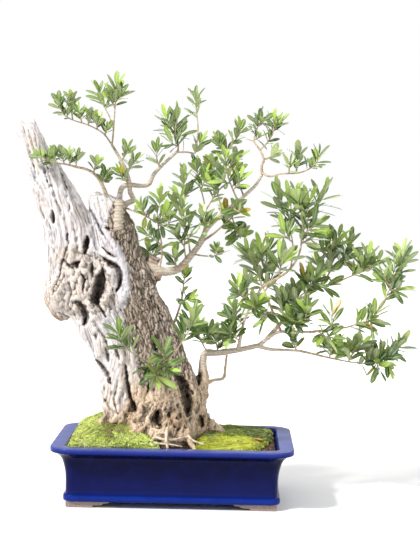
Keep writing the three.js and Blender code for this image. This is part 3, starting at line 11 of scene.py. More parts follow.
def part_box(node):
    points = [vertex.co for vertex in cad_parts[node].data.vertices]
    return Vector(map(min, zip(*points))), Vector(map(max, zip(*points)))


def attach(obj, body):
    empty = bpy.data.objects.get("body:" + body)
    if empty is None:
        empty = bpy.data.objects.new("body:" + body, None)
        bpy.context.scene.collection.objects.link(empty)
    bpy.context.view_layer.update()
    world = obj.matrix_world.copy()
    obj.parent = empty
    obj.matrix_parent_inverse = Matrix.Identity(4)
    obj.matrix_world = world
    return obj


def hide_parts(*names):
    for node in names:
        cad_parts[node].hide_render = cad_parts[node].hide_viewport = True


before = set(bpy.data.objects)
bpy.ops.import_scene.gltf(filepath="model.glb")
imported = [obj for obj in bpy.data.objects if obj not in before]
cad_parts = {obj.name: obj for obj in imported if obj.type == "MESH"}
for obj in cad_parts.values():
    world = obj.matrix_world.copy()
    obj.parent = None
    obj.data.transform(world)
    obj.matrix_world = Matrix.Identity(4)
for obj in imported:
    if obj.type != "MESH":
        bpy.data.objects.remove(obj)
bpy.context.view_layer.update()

# ==== Camera, light and floor ====
# The tree is seen from the front, a little above the pot's rim and almost level, as on a show
# bench. A window high on the left lights it, with a weak fill on the right, over a pale floor.
MM = 0.001
pot_low, pot_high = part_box("pot")
MIDDLE = Vector(((pot_low.x + pot_high.x) / 2, (pot_low.y + pot_high.y) / 2, 0.0))


def placed(x, y, z):
    """A point given in millimetres from the middle of the pot's base, in the object's frame."""
    return Vector((x, y, z)) * MM + MIDDLE


EYE = placed(86.07, -2220.41, 464.34)
YAW, PITCH, ROLL = -0.016958, -0.063640, 0.017288
FOCAL_PIXELS = 1505
FRAME_HEIGHT = 560
SENSOR_MM = 36
SEEN_AS_FAR_AS = 50

ahead = Vector((math.sin(YAW) * math.cos(PITCH), math.cos(YAW) * math.cos(PITCH), math.sin(PITCH)))
level_right = Vector((math.cos(YAW), -math.sin(YAW), 0))
level_up = level_right.cross(ahead)
rolled_right = level_right * math.cos(ROLL) + level_up * math.sin(ROLL)
rolled_up = level_up * math.cos(ROLL) - level_right * math.sin(ROLL)
camera_data = bpy.data.cameras.new("camera")
camera_data.sensor_width = SENSOR_MM
camera_data.lens = FOCAL_PIXELS * SENSOR_MM / FRAME_HEIGHT
camera_data.clip_end = SEEN_AS_FAR_AS
camera = bpy.data.objects.new("camera", camera_data)
turned = Matrix((rolled_right, rolled_up, -ahead)).transposed().to_4x4()
camera.matrix_world = Matrix.Translation(EYE) @ turned
bpy.context.scene.collection.objects.link(camera)
bpy.context.scene.camera = camera
bpy.context.scene.view_settings.view_transform = "Standard"

FLOOR_REACH = 6
FLOOR_COLOUR = (0.92, 0.92, 0.93, 1)
FLOOR_PALEST = (0.97, 0.97, 0.97, 1)
ROOM_COLOUR = (1.0, 1.0, 1.0, 1)
ROOM_LIGHT = 0.62
BACKDROP = 1.0
WINDOW_STRENGTH = 3.9
WINDOW_WIDTH = math.radians(7)
WINDOW_COLOUR = (1.0, 0.98, 0.95)
WINDOW_WAY = Vector((1.9, 1.35, -2.3))


def add_lamp(name, place, aim, size, watts, colour):
    """A round lamp that faces the place it lights."""
    data = bpy.data.lights.new(name, "AREA")
    data.shape = "DISK"
    data.size = size
    data.energy = watts
    data.color = colour
    lamp = bpy.data.objects.new(name, data)
    lamp.location = place
    lamp.rotation_euler = (aim - place).to_track_quat("-Z", "Y").to_euler()
    bpy.context.scene.collection.objects.link(lamp)


tree_heart = placed(0, 0, 300)
add_lamp("fill", Vector((1.9, -2.2, 1.3)), tree_heart, size=2.0, watts=14, colour=(0.93, 0.96, 1.0))
add_lamp("rim", Vector((0.6, 2.2, 1.9)), tree_heart, size=1.4, watts=30, colour=(1.0, 1.0, 1.0))

window = bpy.data.lights.new("window", "SUN")
window.energy = WINDOW_STRENGTH
window.angle = WINDOW_WIDTH
window.color = WINDOW_COLOUR
window_light = bpy.data.objects.new("window", window)
window_light.rotation_euler = WINDOW_WAY.to_track_quat("-Z", "Y").to_euler()
bpy.context.scene.collection.objects.link(window_light)


def add_node(tree, kind, inputs=None, **settings):
    """A shader node with its settings, and its inputs given as values or as other nodes' outputs."""
    made = tree.nodes.new("ShaderNode" + kind)
    for name, value in settings.items():
        setattr(made, name, value)
    for name, value in (inputs or {}).items():
        if isinstance(value, bpy.types.NodeSocket):
            tree.links.new(value, made.inputs[name])
        else:
            made.inputs[name].default_value = value
    return made


def rescaled(tree, value, low, high, to_low=0.0, to_high=1.0):
    """A value from low to high brought to run from to_low to to_high, and held at both ends."""
    made = add_node(tree, "MapRange", {
        "Value": value, "From Min": low, "From Max": high, "To Min": to_low, "To Max": to_high})
    return made.outputs[0]


def new_finish(name, roughness, specular=0.5):
    """An empty finish: its material, node tree, shader and object coordinates."""
    material = bpy.data.materials.new(name)
    material.use_nodes = True
    tree = material.node_tree
    shader = tree.nodes["Principled BSDF"]
    shader.inputs["Roughness"].default_value = roughness
    shader.inputs["Specular IOR Level"].default_value = specular
    place = add_node(tree, "TexCoord").outputs["Object"]
    return material, tree, shader, place


def speckle(tree, place, scale, detail=4, roughness=0.6, stretch=None):
    """Noise from 0 to 1 over the surface, finer as scale grows; stretch squeezes it along an axis."""
    if stretch:
        place = add_node(tree, "Mapping", {"Vector": place, "Scale": stretch}).outputs[0]
    made = add_node(tree, "TexNoise", {
        "Vector": place, "Scale": scale, "Detail": detail, "Roughness": roughness})
    return made.outputs["Fac"]


def between(tree, share, low, high, mode="MIX"):
    """A colour mixed from two, each a colour or an output."""
    made = tree.nodes.new("ShaderNodeMix")
    made.data_type = "RGBA"
    made.blend_type = mode
    for index, value in ((0, share), (6, low), (7, high)):
        if isinstance(value, bpy.types.NodeSocket):
            tree.links.new(value, made.inputs[index])
        else:
            made.inputs[index].default_value = (*value, 1) if index and len(value) == 3 else value
    return made.outputs[2]


def paint(tree, shader, colour):
    """Gives a shader its base colour from an output."""
    tree.links.new(colour, shader.inputs["Base Color"])


def new_piece(name, bm):
    """A bmesh as an object of the scene, at the origin."""
    mesh = bpy.data.meshes.new(name)
    bm.to_mesh(mesh)
    bm.free()
    piece = bpy.data.objects.new(name, mesh)
    bpy.context.scene.collection.objects.link(piece)
    return piece


world = bpy.data.worlds.new("studio")
world.use_nodes = True
room = world.node_tree.nodes["Background"]
seen = add_node(world.node_tree, "LightPath").outputs["Is Camera Ray"]
strength = rescaled(world.node_tree, seen, 0, 1, ROOM_LIGHT, BACKDROP)
world.node_tree.links.new(strength, room.inputs["Strength"])
room.inputs["Color"].default_value = ROOM_COLOUR
bpy.context.scene.world = world

floor_bm = bmesh.new()
bmesh.ops.create_grid(floor_bm, x_segments=1, y_segments=1, size=FLOOR_REACH)
floor = new_piece("floor", floor_bm)
floor_paper, tree, shader, place = new_finish("floor_paper", 0.9, 0.1)
paint(tree, shader, between(tree, speckle(tree, place, 3), FLOOR_COLOUR, FLOOR_PALEST))
floor.data.materials.append(floor_paper)

# ==== Pot ====
# A rectangular tray of stoneware, pressed in a mould: a base bead, a wall that leans out into a
# flat flared rim, and a plain inside. It is dipped in cobalt glaze, coloured in bands by height:
# lighter over the base bead, darkening up the wall into painted shade under the rim's overhang,
# with a painted highlight on the rim's lip and top.
POT_HALF = (154, 101.5)  # at the foot line, millimetres
POT_CORNER = 14
CORNER_STEPS = 9
FLOOR_TOP = 18
OUTER_LEVELS = [  # height, and how far the wall stands out from the foot line there
    (9, 0), (9.6, 0.9), (11, 1.6), (14, 1.9), (17, 1.6), (18.4, 0.4), (19, -1.6), (22, -1.8), (33, -1.8),
    (45, -1.5), (52, -0.7), (58, 0.5), (63, 1.8), (68, 3.5), (72, 5.9), (75.5, 9.4), (78, 13.2), (79.4, 16.8),
    (79.9, 19.6), (80.6, 20.6), (82, 21), (85.6, 21), (87, 20.7), (87.8, 19.8), (88, 18.6),
]
INNER_LEVELS = [
    (88, 1.2), (87.7, 0.2), (86.6, -0.7), (84, -1.8), (78, -5.2), (68, -8.6), (45, -9.3), (24, -9.8),
    (19.5, -10.4), (FLOOR_TOP, -12.4),
]
DRAIN_RADIUS = 13
DRAIN_X = 75
SPECK = 0.1  # radius of a ring before its vertices are put in their places
GLAZED_HEIGHT = (0.009, 0.089)
# painted light: the colours darken up the wall into painted shade under the rim's overhang, and the last
# stops paint a pale highlight on the rim's lip and top
GLAZE_AND_PAINTED_LIGHT_BANDS = [  # share of the glazed height from the bead to the rim, colour
    (0.0, (0.004, 0.018, 0.16)), (0.09, (0.005, 0.024, 0.22)), (0.135, (0.003, 0.009, 0.095)),
    (0.22, (0.002, 0.0048, 0.066)), (0.50, (0.0012, 0.0028, 0.050)), (0.72, (0.0008, 0.0016, 0.028)),
    (0.84, (0.0008, 0.0012, 0.020)), (0.90, (0.003, 0.010, 0.12)), (0.95, (0.020, 0.034, 0.22)),
    (1.0, (0.090, 0.115, 0.36)),
]
GLAZE_CLOUD = (0.003, 0.010, 0.12)


def steps(tree, share, stops):
    """A colour taken from stops of (place, colour)."""
    made = tree.nodes.new("ShaderNodeValToRGB")
    tree.links.new(share, made.inputs["Fac"])
    ramp = made.color_ramp
    while len(ramp.elements) < len(stops):
        ramp.elements.new(0.5)
    for element, (place, colour) in zip(ramp.elements, stops):
        element.position = place
        element.color = (*colour, 1)
    return made.outputs["Color"]


def raise_surface(tree, shader, height, distance, strength):
    """Fine relief on the shader; distance is in metres."""
    bump = add_node(tree, "Bump", {"Height": height, "Distance": distance, "Strength": strength})
    tree.links.new(bump.outputs["Normal"], shader.inputs["Normal"])


def tray_ring(ring, height, offset):
    """Puts a ring of vertices on the pot's outline at a height, pushed out by offset."""
    radius = POT_CORNER + offset
    for index, vert in enumerate(ring):
        quarter, step = divmod(index, CORNER_STEPS)
        swing = (quarter + step / (CORNER_STEPS - 1)) * math.pi / 2
        side_x = 1 if quarter in (0, 3) else -1
        side_y = 1 if quarter in (0, 1) else -1
        x = side_x * (POT_HALF[0] - POT_CORNER) + math.cos(swing) * radius
        y = side_y * (POT_HALF[1] - POT_CORNER) + math.sin(swing) * radius
        vert.co = placed(x, y, height)


def verts_of(made):
    """The vertices in what an operator made."""
    return [item for item in made["geom"] if isinstance(item, bmesh.types.BMVert)]


def extrude_ring(bm, ring, edges):
    """Extrudes a closed ring of vertices; gives the new ring in the same order, and its edges."""
    made = bmesh.ops.extrude_edge_only(bm, edges=edges)
    new_verts = set(verts_of(made))
    new_edges = [item for item in made["geom"]
                 if isinstance(item, bmesh.types.BMEdge) and set(item.verts) <= new_verts]
    ahead_ring = []
    for vert in ring:
        ahead_ring += [e.other_vert(vert) for e in vert.link_edges if e.other_vert(vert) in new_verts]
    return ahead_ring, new_edges


def close_up(bm, edges):
    """Fills an open end and points all faces outwards."""
    bmesh.ops.edgeloop_fill(bm, edges=edges)
    bmesh.ops.recalc_face_normals(bm, faces=bm.faces)


def settle(piece):
    """Applies a piece's modifiers to its mesh."""
    bpy.context.view_layer.update()
    graph = bpy.context.evaluated_depsgraph_get()
    mesh = bpy.data.meshes.new_from_object(piece.evaluated_get(graph))
    piece.modifiers.clear()
    piece.data = mesh


def soften_edges(piece, width, sharper_than):
    """Rounds edges over a width in millimetres, where they are sharper than an angle in degrees."""
    softened = piece.modifiers.new("softened", "BEVEL")
    softened.width = width * MM
    softened.segments = 2
    softened.limit_method = "ANGLE"
    softened.angle_limit = math.radians(sharper_than)
    settle(piece)


def dress(piece, finish, slot, *nodes):
    """Gives a piece its finish and its place in the object."""
    piece.data.materials.clear()
    piece.data.materials.append(finish)
    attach(piece, "root")
    if nodes:
        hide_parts(*nodes)


pot_bm = bmesh.new()
ring = bmesh.ops.create_circle(
    pot_bm, cap_ends=True, segments=4 * CORNER_STEPS, radius=SPECK)["verts"]
edges = list(pot_bm.edges)
tray_ring(ring, *OUTER_LEVELS[0])
for height, offset in OUTER_LEVELS[1:] + INNER_LEVELS:
    ring, edges = extrude_ring(pot_bm, ring, edges)
    tray_ring(ring, height, offset)
close_up(pot_bm, edges)
pot = new_piece("pot_glazed", pot_bm)

drain_bm = bmesh.new()
for side in (-1, 1):
    through_floor = Matrix.Translation(placed(side * DRAIN_X, 0, FLOOR_TOP / 2))
    bmesh.ops.create_cone(drain_bm, cap_ends=True, segments=40, radius1=DRAIN_RADIUS * MM,
                          radius2=DRAIN_RADIUS * MM, depth=4 * FLOOR_TOP * MM, matrix=through_floor)
drain = new_piece("drain_cut", drain_bm)
cut = pot.modifiers.new("drains", "BOOLEAN")
cut.operation = "DIFFERENCE"
cut.object = drain
settle(pot)
bpy.data.objects.remove(drain)
soften_edges(pot, 0.6, sharper_than=50)
pot.data.shade_smooth()

glaze, tree, shader, place = new_finish("cobalt_glaze", 0.2, 0.05)
height = add_node(tree, "SeparateXYZ", {"Vector": place}).outputs["Z"]
# glaze colour by height, with painted shade under the rim and a painted highlight on it
glaze_and_painted_light = steps(tree, rescaled(tree, height, *GLAZED_HEIGHT), GLAZE_AND_PAINTED_LIGHT_BANDS)
mottle = speckle(tree, place, 55, detail=6)
streak = speckle(tree, place, 26, detail=3, stretch=(1.0, 1.0, 0.12))
clouded = between(tree, rescaled(tree, mottle, 0.45, 0.75, to_high=0.3), glaze_and_painted_light, GLAZE_CLOUD)
shaded = between(tree, streak, (0.72, 0.72, 0.78), (1.2, 1.2, 1.15))
paint(tree, shader, between(tree, 1.0, clouded, shaded, "MULTIPLY"))
tree.links.new(rescaled(tree, mottle, 0, 1, 0.09, 0.24), shader.inputs["Roughness"])
shader.inputs["Coat Weight"].default_value = 0.1
shader.inputs["Coat Roughness"].default_value = 0.06
raise_surface(tree, shader, speckle(tree, place, 38, detail=2), 0.0009, 0.35)
dress(pot, glaze, "pot_glaze", "pot")

# ==== Pot feet ====
# Four cloud feet, part of the tray's clay body and left bare of glaze where it stands. Each turns a
# corner of the pot and steps up in two scallops to the end of each run.
FOOT_LONG = 64
FOOT_SHORT = 46
FOOT_THICK = 13
FOOT_INSET = 3
FOOT_OVERLAP = 0.3  # how far the two runs of a foot reach into one another
FOOT_SETBACK = 0.2  # how far the second run stands back from the first one's face
SCALLOPS = [  # share of the run's length, height
    (0, 10.5), (0, 2), (0.012, 0.9), (0.035, 0.25), (0.06, 0), (0.47, 0), (0.54, 0.25), (0.585, 1.0),
    (0.61, 2.2), (0.62, 3.5), (0.68, 3.2), (0.75, 3.4), (0.80, 4.2), (0.83, 5.2), (0.84, 6.2), (0.89, 6.1),
    (0.94, 6.7), (0.98, 8.2), (1.0, 10.5),
]


def add_foot_run(bm, length, along, across, corner):
    """One run of a cloud foot from the pot's corner, as a block of the scalloped outline."""
    outline = [bm.verts.new(corner + along * (share * length * MM) + Vector((0, 0, height * MM)))
               for share, height in SCALLOPS]
    made = bmesh.ops.extrude_face_region(bm, geom=[bm.faces.new(outline)])
    bmesh.ops.translate(bm, verts=verts_of(made), vec=across * FOOT_THICK * MM)


feet_bm = bmesh.new()
for side_x in (-1, 1):
    for side_y in (-1, 1):
        corner = placed(side_x * (POT_HALF[0] - FOOT_INSET), side_y * (POT_HALF[1] - FOOT_INSET), 0)
        inward_x, inward_y = Vector((-side_x, 0, 0)), Vector((0, -side_y, 0))
        add_foot_run(feet_bm, FOOT_LONG, inward_x, inward_y, corner)
        beside = corner + inward_y * (FOOT_THICK - FOOT_OVERLAP) * MM + inward_x * FOOT_SETBACK * MM
        add_foot_run(feet_bm, FOOT_SHORT - FOOT_THICK, inward_y, inward_x, beside)
bmesh.ops.recalc_face_normals(feet_bm, faces=feet_bm.faces)
feet = new_piece("pot_feet", feet_bm)
soften_edges(feet, 0.5, sharper_than=40)

clay, tree, shader, place = new_finish("bare_clay", 0.9, 0.2)
grit = speckle(tree, place, 420, detail=5)
fired = steps(tree, grit, [
    (0.3, (0.14, 0.105, 0.085)), (0.5, (0.30, 0.235, 0.195)), (0.72, (0.44, 0.36, 0.30))])
stain = speckle(tree, place, 30, detail=3)
paint(tree, shader, between(tree, stain, fired, (0.26, 0.20, 0.19)))
raise_surface(tree, shader, grit, 0.0006, 0.8)
dress(feet, clay, "foot_clay")

# ==== Drain screens ====
# Two squares of slotted black plastic laid over the drain holes, held down by the soil, so that
# water leaves and grit stays.
screen_plastic, tree, shader, place = new_finish("screen_plastic", 0.6, 0.4)
scuff = speckle(tree, place, 160)
paint(tree, shader, between(tree, scuff, (0.012, 0.012, 0.012), (0.05, 0.047, 0.042)))
raise_surface(tree, shader, scuff, 0.0003, 0.5)
for node in ("drain_screen_left", "drain_screen_right"):
    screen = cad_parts[node]
    screen.data.materials.clear()
    screen.data.materials.append(screen_plastic)

# ==== Soil ====
# Gritty mix of baked clay and crushed lava, heaped towards the trunk: a body of earth with loose
# grains lying on it wherever the moss leaves it bare.
SOIL_EDGE = 80
SOIL_MOUNDS = [((-80, 0), (62, 75), 27), ((45, 0), (75, 65), 13)]  # middle, reach, height
SOIL_DEEP = 20
SOIL_FOOT = (0.955, 0.94)  # how much narrower the soil is at the bottom
SOIL_INSIDE = (POT_HALF[0] - 5.9, POT_HALF[1] - 5.9)
SOIL_CORNER = 8
SOIL_GRID = (170, 112)
SOIL_LUMP = 0.7
GRAINS = 2300
GRAIN_EDGE = 2.5  # grains keep this far from the pot's wall
GRAIN_RADIUS = (0.8, 2.1)


def soil_top(x, y):
    """Height of the soil over the foot plane, in millimetres from the middle of the pot."""
    height = SOIL_EDGE
    for (at_x, at_y), (reach_x, reach_y), rise in SOIL_MOUNDS:
        height += rise * math.exp(-(((x - at_x) / reach_x) ** 2) - ((y - at_y) / reach_y) ** 2)
    return height + 0.7 * math.sin(x * 0.19 + y * 0.07) * math.sin(y * 0.23 - x * 0.05)


def inside_tray(x, y):
    """Pulls a point of a rectangle's corner in onto the rounded corner of the soil."""
    over_x = abs(x) - (SOIL_INSIDE[0] - SOIL_CORNER)
    over_y = abs(y) - (SOIL_INSIDE[1] - SOIL_CORNER)
    if over_x > 0 and over_y > 0:
        reach = max(over_x, over_y) / math.hypot(over_x, over_y)
        x = math.copysign(SOIL_INSIDE[0] - SOIL_CORNER + over_x * reach, x)
        y = math.copysign(SOIL_INSIDE[1] - SOIL_CORNER + over_y * reach, y)
    return x, y


def skirt_down(bm):
    """Extrudes the open edge of a sheet, and gives the vertices of the new edge."""
    rim = [edge for edge in bm.edges if edge.is_boundary]
    return verts_of(bmesh.ops.extrude_edge_only(bm, edges=rim))


def heap_up(shape, count):
    """A pile of equal copies of a small bmesh, doubled until there are enough."""
    seed = bpy.data.meshes.new("seed")
    shape.to_mesh(seed)
    per_shape = len(seed.vertices)
    corners = np.empty(per_shape * 3)
    seed.vertices.foreach_get("co", corners)
    while len(shape.verts) < per_shape * count:
        doubled = bpy.data.meshes.new("doubled")
        shape.to_mesh(doubled)
        shape.from_mesh(doubled)
        bpy.data.meshes.remove(doubled)
    shape.verts.ensure_lookup_table()
    bmesh.ops.delete(shape, geom=shape.verts[per_shape * count:], context="VERTS")
    return corners.reshape(-1, 3)


def scatter(name, shape, places):
    """A small bmesh repeated at each place, a 4x4 matrix in the object's frame."""
    corners = heap_up(shape, len(places))
    piece = new_piece(name, shape)
    turns = np.array([place.to_3x3() for place in places])
    shifts = np.array([place.translation for place in places])
    spots = np.einsum("nij,kj->nki", turns, corners) + shifts[:, None, :]
    piece.data.vertices.foreach_set("co", spots.ravel())
    piece.data.update()
    return piece


soil_bm = bmesh.new()
bmesh.ops.create_grid(soil_bm, x_segments=SOIL_GRID[0], y_segments=SOIL_GRID[1], size=1)
for vert in soil_bm.verts:
    x, y = inside_tray(vert.co.x * SOIL_INSIDE[0], vert.co.y * SOIL_INSIDE[1])
    lumps = noise.noise((x / 2.3, y / 2.3, 0)) + 0.6 * noise.noise((x / 5.1, y / 5.1, 7))
    vert.co = placed(x, y, soil_top(x, y) - 0.6 + SOIL_LUMP * lumps)
for vert in skirt_down(soil_bm):
    vert.co.x = MIDDLE.x + (vert.co.x - MIDDLE.x) * SOIL_FOOT[0]
    vert.co.y = MIDDLE.y + (vert.co.y - MIDDLE.y) * SOIL_FOOT[1]
    vert.co.z = SOIL_DEEP * MM
close_up(soil_bm, [edge for edge in soil_bm.edges if edge.is_boundary])
soil = new_piece("soil_bed", soil_bm)

pick = random.Random(7)
places = []
for _ in range(GRAINS):
    x, y = inside_tray(pick.uniform(-1, 1) * (SOIL_INSIDE[0] - GRAIN_EDGE),
                       pick.uniform(-1, 1) * (SOIL_INSIDE[1] - GRAIN_EDGE))
    size = pick.uniform(*GRAIN_RADIUS)
    turn = Matrix.Rotation(pick.uniform(0, math.tau), 4, "Z") @ Matrix.Rotation(pick.uniform(0, 1), 4, "X")
    flat = Matrix.Diagonal((size, size * pick.uniform(0.6, 0.95), size * pick.uniform(0.5, 0.8), 1))
    places.append(Matrix.Translation(placed(x, y, soil_top(x, y) - 0.3)) @ turn @ flat)
grain_bm = bmesh.new()
bmesh.ops.create_icosphere(grain_bm, subdivisions=1, radius=MM)
grit = scatter("soil_grit", grain_bm, places)

earth, tree, shader, place = new_finish("gritty_earth", 0.95, 0.15)
grain_tone = add_node(tree, "TexVoronoi", {"Vector": place, "Scale": 330.0}).outputs["Color"]
grain_share = add_node(tree, "SeparateColor", {"Color": grain_tone}).outputs[0]
grains = steps(tree, grain_share, [
    (0.0, (0.030, 0.020, 0.014)), (0.35, (0.085, 0.052, 0.030)), (0.6, (0.17, 0.105, 0.058)),
    (0.85, (0.24, 0.17, 0.11)), (1.0, (0.05, 0.04, 0.035))])
damp = speckle(tree, place, 22)
paint(tree, shader, between(tree, damp, (0.035, 0.024, 0.016), grains))
raise_surface(tree, shader, speckle(tree, place, 700, detail=3), 0.0006, 0.8)
for piece in (soil, grit):
    dress(piece, earth, "soil", "soil")

# ==== Trunk ====
# One old olive stump, grown and weathered in one piece: a bleached silver dead column on the left,
# eaten hollow in the middle, and the live wood with flaky bark on the right that carries the limbs.
# The plain solid is refined with a fine even mesh, carved along its cracks and given its grain.
LIMBS = {  # base radius, tip radius, then the line of the middle
    "crown": (5, 2.2, (-85, 0, 421), (-77, 0, 433), (-67, 2, 439), (-72, 5, 451), (-74, 8, 467),
        (-81, 12, 486), (-91, 16, 504), (-101, 20, 520)),
    "arching": (5, 2.2, (-88, 5, 430), (-86, 8, 453), (-77, 10, 461), (-57, 14, 460), (-45, 18, 463),
        (-37, 22, 479), (-18, 26, 499), (-3, 30, 513)),
    "middle": (9, 4.2, (-50, 5, 347), (-29, 0, 336), (-14, 0, 334), (4, 0, 340), (15, 0, 353), (27, 0, 368),
        (37, 2, 382)),
    "middle_up": (4.2, 2.2, (31, 0, 374), (43, -6, 398), (63, -12, 419), (91, -18, 443), (103, -22, 454),
        (113, -26, 464), (122, -30, 479)),
    "right": (7, 3.8, (40, 6, 185), (40, 8, 203), (44, 10, 213), (62, 8, 214), (89, 2, 219), (112, -5, 225),
        (128, -10, 230)),
    "right_front": (3.4, 2, (124, -9, 229), (137, -15, 241), (150, -20, 249), (170, -28, 251),
        (196, -38, 252)),
    "right_rise": (3.8, 2.2, (134, -13, 238), (149, -10, 256), (165, -4, 273), (181, 2, 287), (195, 8, 303)),
    "right_back": (3.4, 2, (121, -8, 227), (139, 6, 221), (160, 18, 219), (185, 28, 217)),
    "weave": (3, 1.8, (92, 0, 221), (96, -16, 245), (101, -30, 269), (112, -42, 295), (125, -48, 317)),
    "old_hook": (4.6, 3.4, (45, 14, 168), (57, 24, 171), (71, 34, 173), (73, 42, 187), (75, 50, 206)),
}
DEAD_LINE = [  # middle of the dead column from the top down: x, y, height
    (-223, 0, 548), (-214, 0, 520), (-206, 0, 498), (-192, 0, 465), (-178, 0, 430), (-164, 0, 395),
    (-154, 0, 355), (-146, 0, 320), (-130, 0, 285), (-105, 0, 250), (-88, 0, 215), (-84, -4, 175),
    (-80, -8, 135), (-80, -8, 60),
]
LIVE_LINE = [  # the same for the live vein
    (-128, 2, 444), (-112, 0, 428), (-98, 0, 405), (-92, 0, 375), (-84, 0, 345), (-68, 0, 312),
    (-62, 0, 290), (-46, 0, 262), (-34, 0, 236), (-24, 0, 210), (-16, -2, 180), (-6, -4, 150),
    (-6, -6, 60),
]
BARK_EDGE = [  # where the bare wood ends and the bark begins: x, height
    (-88, 470), (-90, 452), (-94, 438), (-99, 420), (-105, 400), (-99, 388), (-81, 370), (-69, 341),
    (-67, 306), (-78, 277), (-70, 243), (-56, 215), (-54, 185), (-60, 155), (-72, 118),
    (-95, 100), (-110, 60),
]
FRONT_CARVING = [  # half width, depth, and the line of the carving as x, height
    (4.5, 22, (-132, 385), (-134, 372), (-135, 360)),
    (2.2, 9, (-147, 361), (-134, 358), (-125, 356)),
    (4, 15, (-154, 344), (-147, 346), (-142, 349)),
    (3.4, 14, (-124, 348), (-125, 337), (-122, 326)),
    (5.4, 17, (-108, 354), (-99, 346), (-91, 343), (-84, 340)),
    (8.5, 26, (-108, 336), (-112, 320), (-115, 304), (-119, 293), (-113, 285)),
    (3.0, 12, (-119, 293), (-109, 279), (-101, 268)),
    (4.8, 15, (-92, 347), (-84, 338), (-81, 328), (-83, 316), (-88, 306)),
    (2.6, 12, (-110, 370), (-102, 362), (-95, 358), (-87, 355)),
    (4.5, 10, (-184, 422), (-183, 413), (-182, 403)),
    (2.2, 9, (-176, 486), (-170, 466), (-163, 452)),
    (3.2, 12, (-148, 448), (-135, 430), (-123, 414), (-112, 395), (-104, 382)),
    (1.8, 7, (-181, 438), (-173, 427), (-168, 410)),
    (2.6, 6, (-222, 540), (-216, 520), (-206, 496), (-200, 480)),
    (1.2, 4, (-222, 520), (-216, 497), (-207, 469)),
    (1.4, 4, (-204, 449), (-198, 431)),
    (1.2, 4, (-208, 487), (-201, 466), (-192, 452)),
    (1.8, 6, (-155, 410), (-149, 386), (-146, 376)),
    (1.4, 5, (-165, 446), (-159, 430), (-158, 415)),
    (7.0, 18, (-147, 291), (-137, 283), (-131, 268), (-134, 256)),
    (2.4, 7, (-164, 328), (-172, 311), (-184, 295)),
    (2.6, 6, (-187, 287), (-180, 279)),
    (4.0, 8, (-174, 274), (-164, 268), (-156, 264)),
    (2.0, 6, (-150, 322), (-145, 305), (-143, 296)),
    (3.6, 8, (-117, 246), (-115, 234)),
    (4.2, 10, (-102, 224), (-97, 203)),
    (3.4, 9, (-88, 228), (-81, 208)),
    (3.4, 16, (-72, 199), (-69, 171), (-64, 151), (-57, 134)),
    (6.0, 16, (-62, 146), (-56, 132)),
    (3.2, 9, (-31, 236), (-28, 219), (-22, 211)),
    (9.0, 22, (2, 186), (11, 173), (17, 158), (19, 142), (20, 130)),
    (8.0, 20, (-23, 133), (-26, 122), (-19, 112)),
    (3.2, 12, (35, 190), (34, 168)),
    (4.6, 14, (37, 126), (41, 108)),
    (4.0, 10, (-103, 149), (-95, 134)),
    (1.6, 6, (-100, 300), (-97, 280), (-92, 262)),
    (1.4, 6, (-92, 300), (-90, 284), (-80, 262)),
    (1.8, 7, (-10, 205), (-5, 190), (-8, 172)),
    (1.8, 7, (-40, 190), (-38, 165), (-44, 140)),
    (2.2, 8, (-2, 150), (-6, 128), (2, 112)),
    (2.0, 8, (-84, 170), (-88, 150), (-82, 128)),
    (5.0, 13, (-124, 206), (-110, 198), (-99, 186), (-93, 172)),
    (2.4, 9, (-182, 300), (-170, 330), (-166, 352), (-160, 372)),
    (2.6, 8, (-120, 262), (-104, 240), (-98, 222)),
    (1.8, 6, (-205, 515), (-196, 478), (-182, 440)),
    (1.8, 6, (-196, 500), (-186, 462), (-176, 432)),
    (2.0, 7, (-160, 392), (-158, 362), (-166, 340)),
    (2.2, 8, (-138, 332), (-146, 318), (-150, 300)),
    (2.2, 9, (-130, 330), (-128, 312), (-132, 296)),
    (3.2, 7, (-106, 406), (-104, 408)),
    (2.0, 7, (-117, 405), (-110, 398), (-98, 397), (-84, 400)),
    (3.0, 12, (-166, 352), (-160, 344), (-150, 338)),
    (3.4, 13, (-140, 334), (-134, 322), (-136, 308)),
    (2.6, 9, (-158, 318), (-152, 304), (-156, 292)),
    (2.0, 8, (-104, 326), (-103, 312), (-107, 298)),
]
BACK_CARVING = [  # the same on the far side
    (5, 16, (-126, 392), (-120, 345), (-108, 300), (-98, 266)),
    (2.6, 9, (-165, 452), (-150, 405), (-152, 360), (-148, 325)),
    (2.0, 7, (-196, 505), (-186, 465), (-176, 425), (-172, 380)),
    (5, 14, (-50, 182), (-40, 150), (-34, 122)),
    (2.4, 9, (-100, 240), (-92, 200), (-86, 150)),
    (2.6, 9, (-20, 235), (0, 190), (8, 140)),
    (2.4, 9, (-70, 330), (-56, 285), (-40, 250)),
]
RAISED = [  # half width, rise: smooth veins and knots that stand proud of the front
    (7.0, 3.6, (-141, 446), (-126, 424), (-112, 402), (-93, 378), (-78, 352), (-74, 318), (-82, 292),
     (-92, 274), (-84, 250), (-70, 232)),
    (5.0, 7.0, (-98, 338), (-95, 322), (-97, 306), (-104, 292)),
    (6.0, 3.0, (-146, 436), (-154, 452)),
    (6.5, 4.6, (-106, 406), (-104, 408)),
    (5.0, 3.2, (-112, 396), (-100, 390), (-84, 392)),
    (6.0, 3.2, (-104, 262), (-112, 244), (-106, 226)),
    (5.0, 3.0, (-90, 246), (-80, 222), (-78, 204)),
    (6.0, 3.4, (-128, 316), (-131, 298), (-122, 276)),
    (5.0, 3.2, (-30, 196), (-22, 178)),
    (6.0, 3.4, (-36, 160), (-30, 138)),
    (7.0, 4.0, (-4, 140), (6, 120)),
    (13.0, 6.0, (-100, 180), (-96, 152), (-82, 126)),
    (13.0, 5.0, (-120, 268), (-112, 240), (-112, 216)),
    (10.0, 4.0, (-186, 474), (-166, 440), (-150, 408), (-136, 392)),
    (12.0, 4.0, (-174, 318), (-176, 292), (-168, 268)),
]
